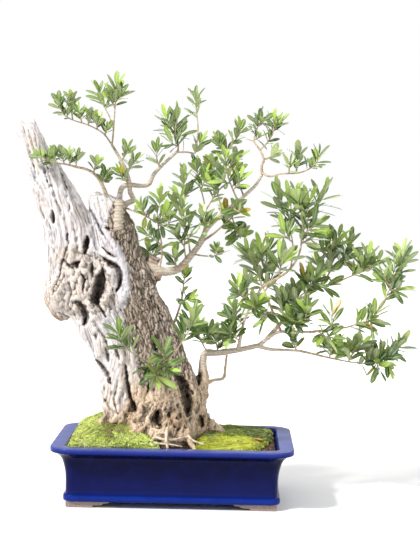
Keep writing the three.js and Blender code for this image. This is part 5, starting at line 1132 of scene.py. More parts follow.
# ==== Leafy sprays ====
# Thin round twigs with small swellings at each pair of leaves, and olive leaves in crossed pairs:
# leathery blades on short stalks, folded a little along a pale midrib, dull and pale underneath.
# Each spray has grown out of its limb; a leaf turns away from what stands in its light.
SPRAYS = [  # node, leaf length, stems as (leaf pairs, base radius, points of the middle)
    ("spray_crown_left", 15, [
        (3, 1.5, (-95, 17, 511), (-105, 17, 526), (-113, 14, 536), (-124, 8, 543), (-138, 2, 549),
         (-158, -6, 555), (-169, -10, 562), (-175, -12, 572), (-176, -14, 580)),
        (3, 1.2, (-157, -6, 555), (-160, 0, 572), (-161, 4, 586)),
        (2, 1.2, (-144, 0, 551), (-147, -12, 566)),
        (2, 1.2, (-135, 3, 549), (-133, 12, 563)),
        (2, 1.2, (-122, 8, 542), (-122, 4, 554)),
        (2, 1.2, (-111, 15, 535), (-108, 8, 541)),
    ]),
    ("spray_crown_top", 20, [
        (4, 1.5, (-101, 20, 520), (-100, 22, 530), (-99, 25, 548), (-98, 28, 572), (-97, 30, 593),
         (-97, 31, 608)),
        (2, 1.2, (-98, 28, 575), (-106, 36, 589)),
        (2, 1.2, (-97, 29, 584), (-89, 22, 592)),
        (2, 1.2, (-100, 25, 545), (-107, 36, 563), (-119, 46, 584), (-124, 50, 599)),
    ]),
    ("spray_crown_side", 17, [
        (2, 1.5, (-87, 14, 496), (-79, 8, 507), (-77, 5, 512)),
    ]),
    ("spray_crown_right", 17, [
        (3, 1.5, (-78, 10, 477), (-72, 22, 489), (-67, 30, 498)),
    ]),
    ("spray_crown_low", 14, [
        (2, 1.5, (-74, 7, 464), (-83, 2, 471), (-87, -2, 478)),
    ]),
    ("spray_arch_first", 22, [
        (2, 1.5, (-29, 24, 487), (-34, 20, 500), (-34, 18, 512)),
    ]),
    ("spray_arch_tip", 25, [
        (4, 1.5, (-3, 30, 513), (-4, 34, 528), (-14, 38, 544), (-22, 40, 560)),
        (2, 1.2, (-8, 36, 535), (-7, 30, 550), (-5, 28, 562)),
        (2, 1.2, (-4, 34, 529), (3, 42, 543)),
        (1, 1.2, (-3, 32, 519), (-13, 20, 524)),
    ]),
    ("spray_arch_right", 19, [
        (3, 1.5, (-5, 30, 511), (12, 24, 511), (22, 22, 510), (28, 20, 520), (31, 18, 526)),
        (2, 1.2, (24, 22, 513), (26, 34, 548), (23, 42, 572), (22, 46, 588), (22, 47, 594)),
    ]),
    ("spray_climbing", 18, [
        (2, 1.5, (40, -4, 392), (41, 8, 417), (36, 14, 444), (29, 18, 467), (26, 20, 488)),
        (2, 1.2, (32, 16, 455), (38, 6, 470), (40, 2, 479)),
        (2, 1.2, (39, 10, 423), (49, 22, 441), (55, 28, 453), (51, 30, 462)),
    ]),
    ("spray_through_left", 17, [
        (3, 1.5, (-80, 0, 428), (-65, -14, 423), (-51, -20, 418), (-33, -26, 409), (-18, -30, 402)),
        (3, 1.2, (-46, -22, 415), (-50, -30, 424), (-52, -33, 429)),
        (3, 1.2, (-30, -27, 408), (-18, -36, 417), (-15, -38, 421)),
    ]),
    ("spray_left_stem", 19, [
        (4, 1.5, (-27, 0, 336), (-23, -10, 358), (-24, -18, 381), (-29, -10, 402), (-31, -2, 422),
         (-27, 2, 437), (-28, 3, 446)),
        (3, 1.2, (-23, -16, 374), (-36, -34, 385), (-43, -42, 388)),
        (2, 1.2, (-28, -12, 396), (-15, 0, 404), (-11, 6, 412)),
    ]),
    ("spray_left_dark", 20, [
        (3, 1.5, (-38, 2, 341), (-39, 24, 354), (-44, 30, 364)),
        (2, 1.2, (-40, 25, 356), (-28, 38, 364)),
    ]),
    ("spray_mid_low", 20, [
        (3, 1.5, (-2, 0, 338), (-3, -16, 354), (-2, -20, 361)),
    ]),
    ("spray_mid_stem", 20, [
        (4, 1.5, (13, 0, 350), (10, -14, 372), (11, -20, 392), (6, -22, 414), (6, -22, 429)),
        (3, 1.2, (11, -19, 388), (16, -8, 402), (15, -6, 410)),
        (2, 1.2, (10, -14, 373), (0, -30, 385), (-3, -33, 390)),
        (2, 1.2, (10, -17, 382), (22, -34, 389)),
    ]),
    ("spray_mid_high", 20, [
        (4, 1.5, (19, 0, 358), (15, 10, 381), (8, 14, 407), (8, 12, 433), (8, 10, 449), (7, 8, 465),
         (6, 6, 476)),
        (3, 1.2, (8, 11, 440), (13, 18, 452), (15, 20, 455)),
        (2, 1.2, (8, 14, 416), (-5, 26, 431), (-8, 28, 435)),
        (2, 1.2, (8, 12, 434), (-2, 2, 446)),
    ]),
    ("spray_mid_right", 20, [
        (3, 1.5, (37, -3, 386), (39, -26, 406), (37, -30, 418)),
        (2, 1.2, (39, -25, 405), (47, -32, 411)),
    ]),
    ("spray_high_left", 20, [
        (4, 1.5, (63, -12, 419), (61, -4, 438), (56, 2, 456), (53, 6, 476), (51, 8, 491)),
        (2, 1.2, (58, 0, 450), (48, -10, 462), (45, -12, 464)),
        (2, 1.2, (54, 5, 470), (62, 16, 482)),
        (2, 1.2, (52, 7, 482), (44, 16, 495)),
    ]),
    ("spray_high_mid", 20, [
        (4, 1.5, (87, -17, 441), (79, -22, 459), (72, -24, 477), (69, -24, 492), (68, -24, 503)),
        (3, 1.2, (80, -22, 456), (90, -34, 468), (91, -36, 474)),
        (3, 1.2, (75, -24, 471), (82, -10, 483), (84, -8, 489)),
        (2, 1.2, (75, -23, 466), (64, -36, 468)),
    ]),
    ("spray_high_top", 19, [
        (3, 1.5, (96, -20, 448), (87, 4, 468), (78, 14, 489), (72, 20, 509), (76, 24, 523), (84, 28, 533),
         (89, 30, 542), (89, 30, 548)),
        (3, 1.2, (72, 20, 506), (61, 14, 518), (57, 12, 527)),
        (2, 1.2, (76, 16, 493), (85, 26, 504)),
        (2, 1.2, (73, 21, 514), (68, 30, 520)),
    ]),
    ("spray_low_inner", 17, [
        (2, 1.5, (79, -15, 433), (86, -28, 426), (91, -32, 425)),
    ]),
    ("spray_bare_tip", 11, [
        (2, 1.5, (21, 0, 361), (42, -18, 359), (58, -26, 361), (57, -30, 370)),
        (0, 1.2, (57, -26, 361), (77, -38, 369)),
    ]),
    ("spray_weave_left", 20, [
        (3, 1.5, (119, -45, 307), (107, -56, 307), (97, -66, 303), (91, -70, 312), (88, -72, 320)),
        (3, 1.2, (104, -59, 306), (104, -48, 320), (101, -44, 327)),
    ]),
    ("spray_weave_low", 18, [
        (3, 1.5, (107, -36, 282), (115, -58, 292), (119, -62, 296)),
    ]),
    ("spray_weave_foot", 20, [
        (4, 1.5, (94, -9, 234), (85, -22, 243), (85, -26, 255)),
        (2, 1.2, (88, -19, 240), (77, -32, 248)),
    ]),
    ("spray_weave_side", 17, [
        (2, 1.5, (99, -24, 259), (88, -12, 271), (83, -6, 281)),
        (2, 1.2, (92, -19, 266), (78, -20, 269)),
    ]),
    ("spray_rise_left", 18, [
        (3, 1.5, (158, -7, 266), (156, 8, 283), (156, 12, 296)),
        (3, 1.2, (156, 6, 277), (165, 18, 289), (166, 20, 294)),
    ]),
    ("spray_rise_back", 20, [
        (3, 1.5, (173, -1, 281), (178, 22, 297), (175, 28, 308)),
        (2, 1.2, (177, 14, 290), (168, 34, 302)),
    ]),
    ("spray_rise_mid", 22, [
        (4, 1.5, (186, 4, 293), (193, -6, 318), (188, -10, 330)),
        (2, 1.2, (193, 0, 312), (201, -14, 324), (203, -16, 330)),
    ]),
    ("spray_front_left", 19, [
        (3, 1.5, (167, -27, 250), (168, -42, 265), (166, -46, 273)),
        (2, 1.2, (168, -37, 260), (176, -52, 268)),
    ]),
    ("spray_front_mid", 18, [
        (4, 1.5, (182, -32, 251), (186, -50, 268), (190, -56, 281), (190, -58, 287)),
        (3, 1.2, (185, -46, 263), (181, -38, 280), (181, -36, 285)),
    ]),
    ("spray_back_left", 18, [
        (2, 1.5, (180, 26, 217), (175, 22, 229), (174, 20, 236)),
    ]),
    ("spray_fork", 17, [
        (3, 1.5, (47, 10, 213), (40, -4, 227), (34, -10, 240), (32, -14, 253)),
        (2, 1.2, (38, -6, 230), (46, -20, 242), (50, -24, 248)),
        (2, 1.2, (35, -9, 237), (26, 2, 248)),
    ]),
    ("spray_fork_right", 16, [
        (3, 1.5, (62, 8, 214), (59, 24, 227), (54, 30, 237)),
        (2, 1.2, (60, 17, 222), (69, 28, 231), (70, 30, 237)),
    ]),
    ("front_shoot", 24, [
        (4, 1.5, (-31, -34, 190), (-29, -62, 197), (-40, -74, 208), (-57, -84, 220), (-69, -92, 232),
         (-76, -98, 246), (-80, -100, 254)),
        (5, 1.2, (-29, -62, 197), (-16, -76, 207), (-2, -86, 220), (10, -92, 237), (20, -96, 254),
         (27, -98, 272), (28, -99, 279)),
        (3, 1.2, (-29, -63, 197), (-26, -74, 191), (-24, -80, 186)),
        (2, 1.2, (-35, -68, 202), (-39, -84, 202)),
        (2, 1.2, (-20, -71, 204), (-8, -84, 200)),
        (2, 1.2, (-13, -78, 210), (-15, -90, 225)),
    ]),
    ("branch_low_left", 14, [
        (2, 3.4, (-101, 0, 430), (-110, -8, 456), (-120, -12, 473), (-133, -15, 482), (-150, -18, 486),
         (-167, -20, 490), (-183, -24, 491), (-193, -28, 497), (-201, -30, 501)),
        (2, 1.2, (-150, -18, 486), (-148, -22, 499)),
        (2, 1.2, (-167, -20, 490), (-171, -14, 502)),
        (1, 1.2, (-180, -23, 491), (-182, -30, 503)),
        (2, 1.2, (-159, -19, 488), (-159, -28, 502)),
        (3, 1.2, (-125, -13, 477), (-121, -14, 491)),
        (2, 1.2, (-112, -9, 460), (-107, -22, 471), (-105, -26, 475)),
    ]),
    ("branch_side", 16, [
        (2, 2.4, (-7, 14, 249), (1, 16, 272), (7, 17, 296), (9, 16, 317), (11, 12, 329)),
        (3, 1.2, (5, 17, 290), (13, 6, 292), (19, 0, 294)),
    ]),
    ("branch_centre", 25, [
        (4, 2.4, (154, -22, 250), (145, -14, 271), (136, -4, 292), (127, 6, 313), (119, 12, 331),
         (113, 16, 347), (105, 18, 364)),
        (3, 1.2, (122, 10, 325), (131, 22, 347), (132, 26, 362), (134, 28, 372)),
        (3, 1.2, (116, 14, 341), (123, 4, 358), (124, 0, 367)),
        (2, 1.2, (111, 16, 351), (100, 30, 356), (97, 34, 361)),
        (3, 1.2, (130, 3, 306), (138, 20, 323), (142, 26, 332)),
        (2, 1.2, (135, 14, 318), (127, 30, 325)),
        (4, 1.2, (142, -11, 278), (131, 6, 276), (123, 12, 277)),
        (2, 1.2, (135, 2, 277), (128, -8, 266)),
    ]),
    ("branch_back", 19, [
        (3, 2.6, (34, -1, 379), (47, 20, 387), (63, 36, 400), (79, 50, 415), (85, 54, 429)),
        (3, 1.2, (79, 50, 415), (85, 48, 400), (92, 44, 384), (93, 42, 392)),
        (2, 1.2, (85, 48, 402), (78, 54, 396)),
        (2, 1.2, (71, 43, 408), (70, 52, 426)),
    ]),
    ("branch_crest", 27, [
        (4, 2.4, (125, -48, 317), (139, -48, 326), (159, -44, 338), (173, -38, 355), (180, -34, 374),
         (181, -32, 394), (184, -30, 415), (189, -30, 432), (192, -30, 441)),
        (3, 1.2, (184, -30, 413), (176, -40, 435), (173, -44, 445)),
        (3, 1.2, (183, -31, 406), (199, -16, 429), (209, -8, 444), (214, -4, 453)),
        (2, 1.2, (181, -32, 391), (194, -46, 404), (199, -50, 408)),
        (3, 1.2, (181, -33, 381), (192, -22, 385), (198, -18, 388)),
        (4, 1.2, (166, -41, 346), (169, -28, 371), (166, -18, 394), (158, -10, 417), (149, -4, 437),
         (145, -2, 451)),
        (3, 1.2, (162, -14, 405), (165, -22, 432), (162, -24, 446)),
        (2, 1.2, (168, -23, 382), (157, -38, 391), (154, -42, 396)),
        (3, 1.2, (149, -46, 332), (151, -60, 350), (151, -64, 360)),
        (2, 1.2, (151, -60, 350), (160, -54, 359)),
    ]),
    ("branch_back_end", 21, [
        (3, 2.2, (185, 28, 217), (212, 38, 210), (237, 46, 204), (262, 52, 199), (280, 54, 197),
         (296, 56, 199), (308, 58, 207), (307, 58, 214)),
        (4, 1.2, (230, 44, 206), (234, 42, 218), (235, 40, 227)),
        (2, 1.2, (233, 43, 215), (225, 50, 221)),
        (4, 1.2, (259, 51, 199), (265, 52, 211), (266, 52, 219)),
        (3, 1.2, (263, 52, 208), (274, 60, 220), (280, 64, 224)),
        (2, 1.2, (263, 52, 207), (252, 42, 217)),
        (3, 1.2, (301, 57, 203), (304, 50, 194), (307, 46, 188)),
        (3, 1.2, (304, 57, 205), (320, 64, 212), (336, 70, 220), (342, 72, 226)),
        (2, 1.2, (286, 55, 198), (293, 66, 207)),
        (2, 1.2, (308, 58, 207), (317, 48, 202), (320, 44, 195)),
    ]),
    ("branch_front_end", 24, [
        (3, 2.2, (196, -38, 252), (224, -48, 257), (249, -56, 262), (266, -60, 269), (278, -62, 272),
         (283, -63, 275), (289, -64, 284)),
        (5, 1.2, (227, -49, 257), (226, -56, 270), (226, -60, 281)),
        (2, 1.2, (207, -42, 254), (217, -54, 248), (224, -58, 246)),
        (5, 1.2, (283, -63, 275), (291, -70, 290), (301, -76, 308), (308, -78, 327), (310, -78, 341),
         (314, -78, 353)),
        (3, 1.2, (307, -78, 330), (321, -70, 344), (325, -66, 358), (325, -64, 369)),
        (3, 1.2, (306, -78, 323), (299, -86, 333), (296, -88, 337)),
        (2, 1.2, (305, -77, 318), (314, -84, 319), (318, -86, 318)),
        (2, 1.2, (280, -62, 273), (285, -56, 264)),
    ]),
    ("branch_rise_end", 22, [
        (4, 2.4, (195, 8, 303), (213, 12, 319), (226, 16, 337), (229, 18, 355), (227, 20, 373),
         (224, 20, 384)),
        (3, 1.2, (214, 12, 321), (212, 28, 338), (209, 32, 348)),
        (2, 1.2, (213, 22, 330), (220, 36, 342)),
        (2, 1.2, (209, 11, 315), (223, 0, 317)),
        (4, 1.2, (227, 17, 343), (243, 24, 356), (253, 28, 370), (256, 30, 382)),
        (3, 1.2, (228, 19, 361), (216, 8, 367), (212, 4, 370)),
        (2, 1.2, (244, 24, 358), (249, 12, 353), (251, 10, 350)),
        (2, 1.2, (228, 20, 370), (235, 12, 380), (237, 10, 388)),
        (4, 1.6, (222, 15, 331), (233, 2, 322), (250, -6, 330), (267, -12, 338), (278, -16, 344),
         (279, -20, 358), (280, -22, 364)),
        (3, 1.2, (270, -13, 339), (270, -24, 352), (268, -26, 356)),
        (2, 1.2, (277, -16, 343), (291, -6, 348), (294, -4, 353)),
    ]),
    ("branch_up_end", 17, [
        (1, 2.2, (122, -30, 479), (121, -32, 492), (124, -32, 501), (118, -28, 515), (109, -22, 528),
         (112, -16, 540), (115, -12, 552), (115, -10, 560)),
        (4, 1.2, (118, -28, 515), (128, -36, 525), (136, -42, 539), (137, -46, 551), (137, -48, 556)),
        (2, 1.2, (137, -44, 544), (145, -34, 550), (146, -32, 556)),
        (2, 1.2, (114, -12, 550), (123, -22, 557)),
        (2, 1.2, (124, -32, 501), (134, -22, 505), (139, -18, 508)),
        (1, 1.2, (110, -21, 530), (118, -14, 534)),
        (0, 1.2, (109, -22, 528), (98, -16, 531)),
        (3, 1.8, (122, -30, 482), (133, -38, 477), (150, -44, 481), (170, -48, 482), (182, -50, 485),
         (191, -54, 490), (200, -58, 499), (202, -60, 508)),
        (3, 1.2, (170, -48, 482), (173, -42, 498), (173, -38, 511)),
        (2, 1.2, (160, -46, 482), (161, -56, 494)),
    ]),
]
LEAF_CLEAR = 0.5  # least distance between a leaf and another spray
OWN_CLEAR = 0.55  # share of that reach that leaves of one spray keep from each other
TURNS = 7  # times that a leaf is turned before it is left out
PAIR_GAP = 0.24  # leaf lengths from one pair to the next
LEAF_LIFT, LOWER_LIFT = 0.12, 0.15  # how much the leaves turn up to the light
FURTHER_PAIRS = 5, 0.25, 1.0  # further pairs down a stem, gap in leaf lengths, size of the leaves
LUSH = {  # the same, where a spray is leafier than most
    "front_shoot": (10, 0.13, 1.18),
    "branch_crest": (8, 0.2, 1.18),
    "branch_centre": (10, 0.16, 1.12),
    "branch_rise_end": (8, 0.18, 1.14),
    "branch_back_end": (10, 0.16, 1.18),
    "branch_front_end": (10, 0.15, 1.16),
    "branch_back": (7, 0.18, 1.0),
    "spray_crown_top": (5, 0.22, 1.14),
    "spray_arch_tip": (6, 0.2, 1.08),
    "spray_fork": (8, 0.15, 1.14),
    "spray_fork_right": (8, 0.15, 1.14),
    "spray_weave_foot": (7, 0.15, 1.1),
    "spray_weave_low": (8, 0.15, 1.14),
    "spray_weave_left": (7, 0.17, 1.0),
    "spray_weave_side": (8, 0.15, 1.14),
    "spray_rise_left": (8, 0.15, 1.16),
    "spray_rise_back": (8, 0.15, 1.16),
    "spray_rise_mid": (8, 0.15, 1.16),
    "spray_front_left": (8, 0.15, 1.16),
    "spray_front_mid": (8, 0.15, 1.16),
    "spray_back_left": (8, 0.15, 1.1),
}
STEM_STEP = 3.0
TWIG_SHARE, TIP_RADIUS = 0.92, 0.62  # share of the plain stem's radius at its foot, radius at its tip
KNOT_REACH, KNOT_SWELL = 1.6, 0.38  # the swelling of a twig where leaves stand
BLADE_ROWS = [  # share of the blade's length, share of its half width there
    (0.015, 0.13), (0.09, 0.16), (0.22, 0.62), (0.42, 0.98), (0.64, 1.08), (0.84, 0.86), (0.96, 0.40),
    (1.0, 0.05),
]
BLADE_THICK = 0.42
BLADE_FOLD = 0.13
BLADE_LIFT = 0.2
LEAF_GROWN = 1.4, 1.12  # length of a grown blade against the plain solid's, short kinds first
LEAF_WIDENED = 1.44, 1.02  # its width, the same way
KIND_RANGE = (14, 10)  # length of the shortest kind, and how far the kinds range above it
TO_WINDOW = Vector((0, -0.6, 0.15))  # most leaves turn their face this way
FROM_WINDOW = Vector((0, 0.8, 0.15))
TURNED_AWAY = 0.2
YOUNG_SHADE, OLDER_BY = 0.82, 0.42  # a leaf's shade at a stem's tip, and how much it darkens below
SHADE_SPREAD = (-0.48, 0.36)
GREEN_SHADES, YELLOW_SHADES = (0.0, 0.8), (0.86, 1.0)
YELLOW_LEAVES = [(112, -22, 349), (199, -5, 385), (62, 2, 455), (5, 10, 365)]  # old leaves about to drop
YELLOW_REACH = 12
YELLOW_CHANCE = 0.006

Leaf = namedtuple("Leaf", "root along face long half droop age")


def draws(seed):
    """Numbers from 0 to 1 by a fixed rule, the same for the same seed."""
    while True:
        seed = (seed * 1664525 + 1013904223) % 4294967296
        yield seed / 4294967296


def gap_squared(p, q, r, s):
    """Squared distance between two straight stretches."""
    a, b, c = q - p, s - r, p - r
    aa, bb, ab, ac, bc = a.dot(a), b.dot(b), a.dot(b), a.dot(c), b.dot(c)
    spread = aa * bb - ab * ab
    t = min(1, max(0, (ab * bc - ac * bb) / spread)) if spread > 1e-9 else 0
    u = min(1, max(0, (ab * t + bc) / bb))
    t = min(1, max(0, (ab * u - ac) / aa))
    return (c + a * t - b * u).length_squared


class Standing:
    """Stretches of wood and leaf that a new leaf keeps clear of."""

    def __init__(self):
        self.rows = []
        self.owners = []
        self.outer = []

    def add(self, owner, start, end, radius, outer=False):
        self.rows.append((*start, *end, radius))
        self.owners.append(owner)
        self.outer.append(outer)

    def freeze(self):
        """Makes ready for asking, once all stretches so far are added."""
        self.table = np.array(self.rows)
        self.names = np.array(self.owners)
        self.is_outer = np.array(self.outer)
        self.middles = (self.table[:, :3] + self.table[:, 3:6]) / 2
        self.halves = np.linalg.norm(self.table[:, :3] - self.table[:, 3:6], axis=1) / 2

    def is_clear(self, owner, start, end, radius, outer):
        """Whether a stretch of leaf keeps clear; in its own spray only outer halves are kept apart."""
        own = self.names == owner
        both = radius + self.table[:, 6]
        near = np.where(own, both * OWN_CLEAR, both + LEAF_CLEAR)
        counts = ~own | (self.is_outer & outer)
        middle, half = np.array((start + end) / 2), (end - start).length / 2
        reach = np.linalg.norm(self.middles - middle, axis=1)
        for index in np.nonzero(counts & (reach < near + half + self.halves))[0]:
            row = self.table[index]
            if gap_squared(start, end, Vector(row[:3]), Vector(row[3:6])) < near[index] ** 2:
                return False
        return True


def back_from_end(points, distance):
    """Point and direction on a line of points, at a distance back from its end."""
    left = distance
    for index in range(len(points) - 1, 0, -1):
        step = (points[index] - points[index - 1]).length
        if left <= step or index == 1:
            way = (points[index] - points[index - 1]) / step
            return points[index] - way * min(left, step), way
        left -= step


def leaf_from(point, way, angle, lean, lift, roll, long, kind, droop, age):
    """A leaf that leaves a stem at an angle round it, leans out, lifts to the light and rolls."""
    across = square_to(way)
    upright = across.cross(way).normalized()
    out = across * math.cos(angle) + upright * math.sin(angle)
    along = way * math.cos(lean) + out * math.sin(lean)
    along.z += lift
    along.normalize()
    face = way * 0.7 - out * 0.25
    face.z += 0.75
    face = (face - along * face.dot(along)).normalized()
    face = (face + along.cross(face) * roll).normalized()
    half = long * min(0.21, max(0.125, 0.31 - kind * 0.00725))  # short kinds are the rounder ones
    return Leaf(point, along, face, long, half, droop, age)


def stretches(leaf):
    """The inner and the outer half of a leaf, each with its half width and whether it is the outer."""
    start = leaf.root + leaf.along * (leaf.long * 0.16)
    waist = leaf.root + leaf.along * (leaf.long * 0.6) - leaf.face * (leaf.droop * leaf.long * 0.3)
    end = leaf.root + leaf.along * leaf.long - leaf.face * (leaf.droop * leaf.long)
    return (start, waist, leaf.half, False), (waist, end, leaf.half * 0.8, True)


def line_length(points):
    return sum((b - a).length for a, b in zip(points, points[1:]))


def grow_leaves(owner, stem, kind, draw, standing):
    """Leaves of one stem: one at the tip, then pairs at right angles to the pair before."""
    pairs, base, *line = stem
    points = [Vector(p) for p in line]
    turn = next(draw) * math.pi
    leaves = []
    for k in range(2 * pairs + 1 if pairs else 0):
        pair = (k + 1) // 2
        at_tip = pair == 0
        back = 0 if at_tip else (pair - 0.2) * kind * PAIR_GAP
        long = kind * (0.8 if at_tip else mix(0.86, 1.06, next(draw))) * mix(0.92, 1.06, next(draw))
        spread = 0.12 if at_tip else min(0.55 + pair * 0.17, 1.2) + mix(-0.12, 0.12, next(draw))
        droop = mix(0.04, 0.16, next(draw))
        roll = mix(-0.35, 0.35, next(draw))
        if back > line_length(points) - 1.5:
            continue
        point, way = back_from_end(points, back)
        for attempt in range(TURNS):
            angle = turn + pair * math.pi / 2 + (k % 2) * math.pi + attempt * 0.62
            lean = spread + (attempt * 0.16 if at_tip else -attempt * 0.05)
            part = pair / max(pairs, 1)
            leaf = leaf_from(point, way, angle, lean, LEAF_LIFT, roll, long, kind, droop, part)
            if all(standing.is_clear(owner, *stretch) for stretch in stretches(leaf)):
                leaves.append(leaf)
                break
    return leaves


def grow_lower_pairs(stem, kind, more, gap, pick):
    """Older leaves further down a stem, fewer towards its root."""
    pairs, base, *line = stem
    points = [Vector(p) for p in line]
    turn = pick.uniform(0, math.pi)
    leaves = []
    for pair in range(pairs + 1, pairs + 1 + more) if pairs else ():
        back = (pair - 0.2) * kind * gap
        if back > line_length(points) * 0.86:
            break
        point, way = back_from_end(points, back)
        for side in (0, 1):
            if pick.random() < 0.16 + 0.35 * (pair - pairs) / more:
                continue
            angle = turn + pair * math.pi / 2 + side * math.pi + pick.uniform(-0.3, 0.3)
            lean, roll = pick.uniform(0.85, 1.35), pick.uniform(-0.5, 0.5)
            long, droop = kind * pick.uniform(0.75, 1.02), pick.uniform(0.05, 0.2)
            leaves.append(leaf_from(point, way, angle, lean, LOWER_LIFT, roll, long, kind, droop, age=1.0))
    return leaves


def grow_blade(bm, leaf, kind, size, facing, shade, uv_layer, shade_layer):
    """One leaf as a grid, bent and folded; the underside is added to all of a spray's leaves together."""
    slim = min(1, max(0, (kind - KIND_RANGE[0]) / KIND_RANGE[1]))
    long = leaf.long * mix(*LEAF_GROWN, slim) * size
    half = leaf.half * mix(*LEAF_WIDENED, slim) * size
    along = (leaf.along + Vector((0, 0, BLADE_LIFT))).normalized()
    face = leaf.face + facing
    face = (face - along * face.dot(along)).normalized()
    side = face.cross(along).normalized()
    grid = bmesh.ops.create_grid(bm, x_segments=2, y_segments=len(BLADE_ROWS) - 1, size=1)["verts"]
    for vert in grid:
        across, row = round(vert.co.x), round((vert.co.y + 1) / 2 * (len(BLADE_ROWS) - 1))
        part, width = BLADE_ROWS[row]
        middle = leaf.root + along * (part * long) - face * (leaf.droop * long * part * part)
        lift = abs(across) * half * width * BLADE_FOLD
        vert.co = placed(*(middle + side * (across * half * width) + face * lift))
        vert[shade_layer] = shade
        for loop in vert.link_loops:
            loop[uv_layer].uv = ((across + 1) / 2, part)
    bm.normal_update()
    if grid[0].link_faces[0].normal.dot(face) < 0:
        bmesh.ops.reverse_faces(bm, faces=list({f for v in grid for f in v.link_faces}))


def thicken(piece, thickness, underside=0):
    """Gives a sheet its thickness in millimetres; underside counts on to the finish of its back."""
    thick = piece.modifiers.new("thick", "SOLIDIFY")
    thick.thickness = thickness * MM
    thick.material_offset = underside
    settle(piece)


def off_midrib(tree):
    """How far a place lies from the midrib, from the leaf's own UV: 0 on it and 0.5 at the edge."""
    leaf_place = add_node(tree, "UVMap").outputs["UV"]
    across = add_node(tree, "SeparateXYZ", {"Vector": leaf_place}).outputs["X"]
    aside = add_node(tree, "Math", {0: across, 1: 0.5}, operation="SUBTRACT").outputs[0]
    return add_node(tree, "Math", {0: aside}, operation="ABSOLUTE").outputs[0]


def leaf_finish(name, roughness, dark, young, bloom, rib):
    """A leaf's face: darker when old, dusted with bloom, with a pale midrib; light shines through it."""
    material, tree, shader, place = new_finish(name, roughness, 0.45)
    shade = add_node(tree, "Attribute", attribute_name="shade").outputs["Fac"]
    half_grown = tuple(mix(a, b, 0.4) for a, b in zip(dark, young))
    colour = steps(tree, shade, [(0.0, dark), (0.55, half_grown), (0.8, young), (0.9, (0.50, 0.42, 0.03)),
                                 (1.0, (0.62, 0.24, 0.02))])
    dusty = rescaled(tree, speckle(tree, place, 42, detail=2), 0.48, 0.68, to_high=0.45)
    colour = between(tree, dusty, colour, bloom)
    mottled = between(tree, speckle(tree, place, 160, detail=3), (0.75, 0.8, 0.7), (1.2, 1.15, 1.15))
    colour = between(tree, 1.0, colour, mottled, "MULTIPLY")
    off_rib = off_midrib(tree)
    ribbed = between(tree, rescaled(tree, off_rib, 0.05, 0.12, 0.6, 0.0), colour, rib)
    paint(tree, shader, ribbed)
    raise_surface(tree, shader, off_rib, 0.0004, 0.3)
    glow = add_node(tree, "BsdfTranslucent", {"Color": between(tree, 0.5, ribbed, (0.56, 0.67, 0.15))})
    both = add_node(tree, "MixShader", {0: 0.34, 1: shader.outputs[0], 2: glow.outputs[0]})
    tree.links.new(both.outputs[0], tree.nodes["Material Output"].inputs["Surface"])
    return material


twig_bark = grained_finish("twig_bark", 0.75, 0.3, grain=240, detail=4, relief=0.0004, tones=[
    (0.3, (0.24, 0.165, 0.10)), (0.5, (0.46, 0.35, 0.24)), (0.7, (0.66, 0.55, 0.42))])
leaf_top = leaf_finish("leaf_top", roughness=0.3, dark=(0.013, 0.077, 0.035), young=(0.55, 0.76, 0.14),
                       bloom=(0.52, 0.63, 0.45), rib=(0.70, 0.76, 0.44))
leaf_under = leaf_finish("leaf_underside", roughness=0.6, dark=(0.35, 0.43, 0.23), young=(0.60, 0.68, 0.32),
                         bloom=(0.62, 0.66, 0.54), rib=(0.7, 0.73, 0.50))

standing = Standing()
for base, tip, *line in LIMBS.values():
    for i in range(1, len(line)):
        standing.add("trunk", line[i - 1], line[i], max(mix(base, tip, i / len(line)), 1))
for name, kind, stems in SPRAYS:
    for pairs, base, *line in stems:
        for start, end in zip(line, line[1:]):
            standing.add(name, start, end, base)
standing.freeze()

crowns = []
for order, (name, kind, stems) in enumerate(SPRAYS):
    draw = draws(1000 + order * 77)
    crowns.append([])
    for stem in stems:
        crowns[-1].append(grow_leaves(name, stem, kind, draw, standing))
        for leaf in crowns[-1][-1]:
            for stretch in stretches(leaf):
                standing.add(name, *stretch)
        standing.freeze()

for order, (name, kind, stems) in enumerate(SPRAYS):
    pick = random.Random(300 + order)
    blades_bm = bmesh.new()
    uv_layer = blades_bm.loops.layers.uv.new("UVMap")
    shade_layer = blades_bm.verts.layers.float.new("shade")
    twigs_bm = bmesh.new()
    more, gap, size = LUSH.get(name, FURTHER_PAIRS)
    for stem, leaves in zip(stems, crowns[order]):
        pairs, base, *line = stem
        leaves = leaves + grow_lower_pairs(stem, kind, more, gap, pick)
        smooth_line = curve_through(line, STEM_STEP)
        girths = []
        for i, point in enumerate(smooth_line):
            knot = max([1 - (point - leaf.root).length / KNOT_REACH for leaf in leaves] + [0])
            radius = mix(base * TWIG_SHARE, TIP_RADIUS, i / (len(smooth_line) - 1))
            girths.append(radius * (1 + KNOT_SWELL * knot))
        grow_tube(twigs_bm, smooth_line, girths, sides=6)
        for leaf in leaves:
            shade = YOUNG_SHADE - OLDER_BY * leaf.age + pick.uniform(*SHADE_SPREAD)
            shade = min(GREEN_SHADES[1], max(GREEN_SHADES[0], shade))
            tip = leaf.root + leaf.along * leaf.long
            is_marked = any((tip - Vector(old)).length < YELLOW_REACH for old in YELLOW_LEAVES)
            if is_marked or pick.random() < YELLOW_CHANCE:
                shade = pick.uniform(*YELLOW_SHADES)
            facing = FROM_WINDOW if pick.random() < TURNED_AWAY else TO_WINDOW
            grow_blade(blades_bm, leaf, kind, size, facing, shade, uv_layer, shade_layer)
    leaf_piece = new_piece(name + "_leaves", blades_bm)
    leaf_piece.data.materials.append(leaf_top)
    leaf_piece.data.materials.append(leaf_under)
    thicken(leaf_piece, BLADE_THICK, underside=1)
    leaf_piece.data.shade_smooth()
    leaf_piece.data.set_sharp_from_angle(angle=math.radians(55))
    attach(leaf_piece, "root")
    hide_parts(name)
    dress(round_piece(name + "_twigs", twigs_bm), twig_bark, "leaf", name)

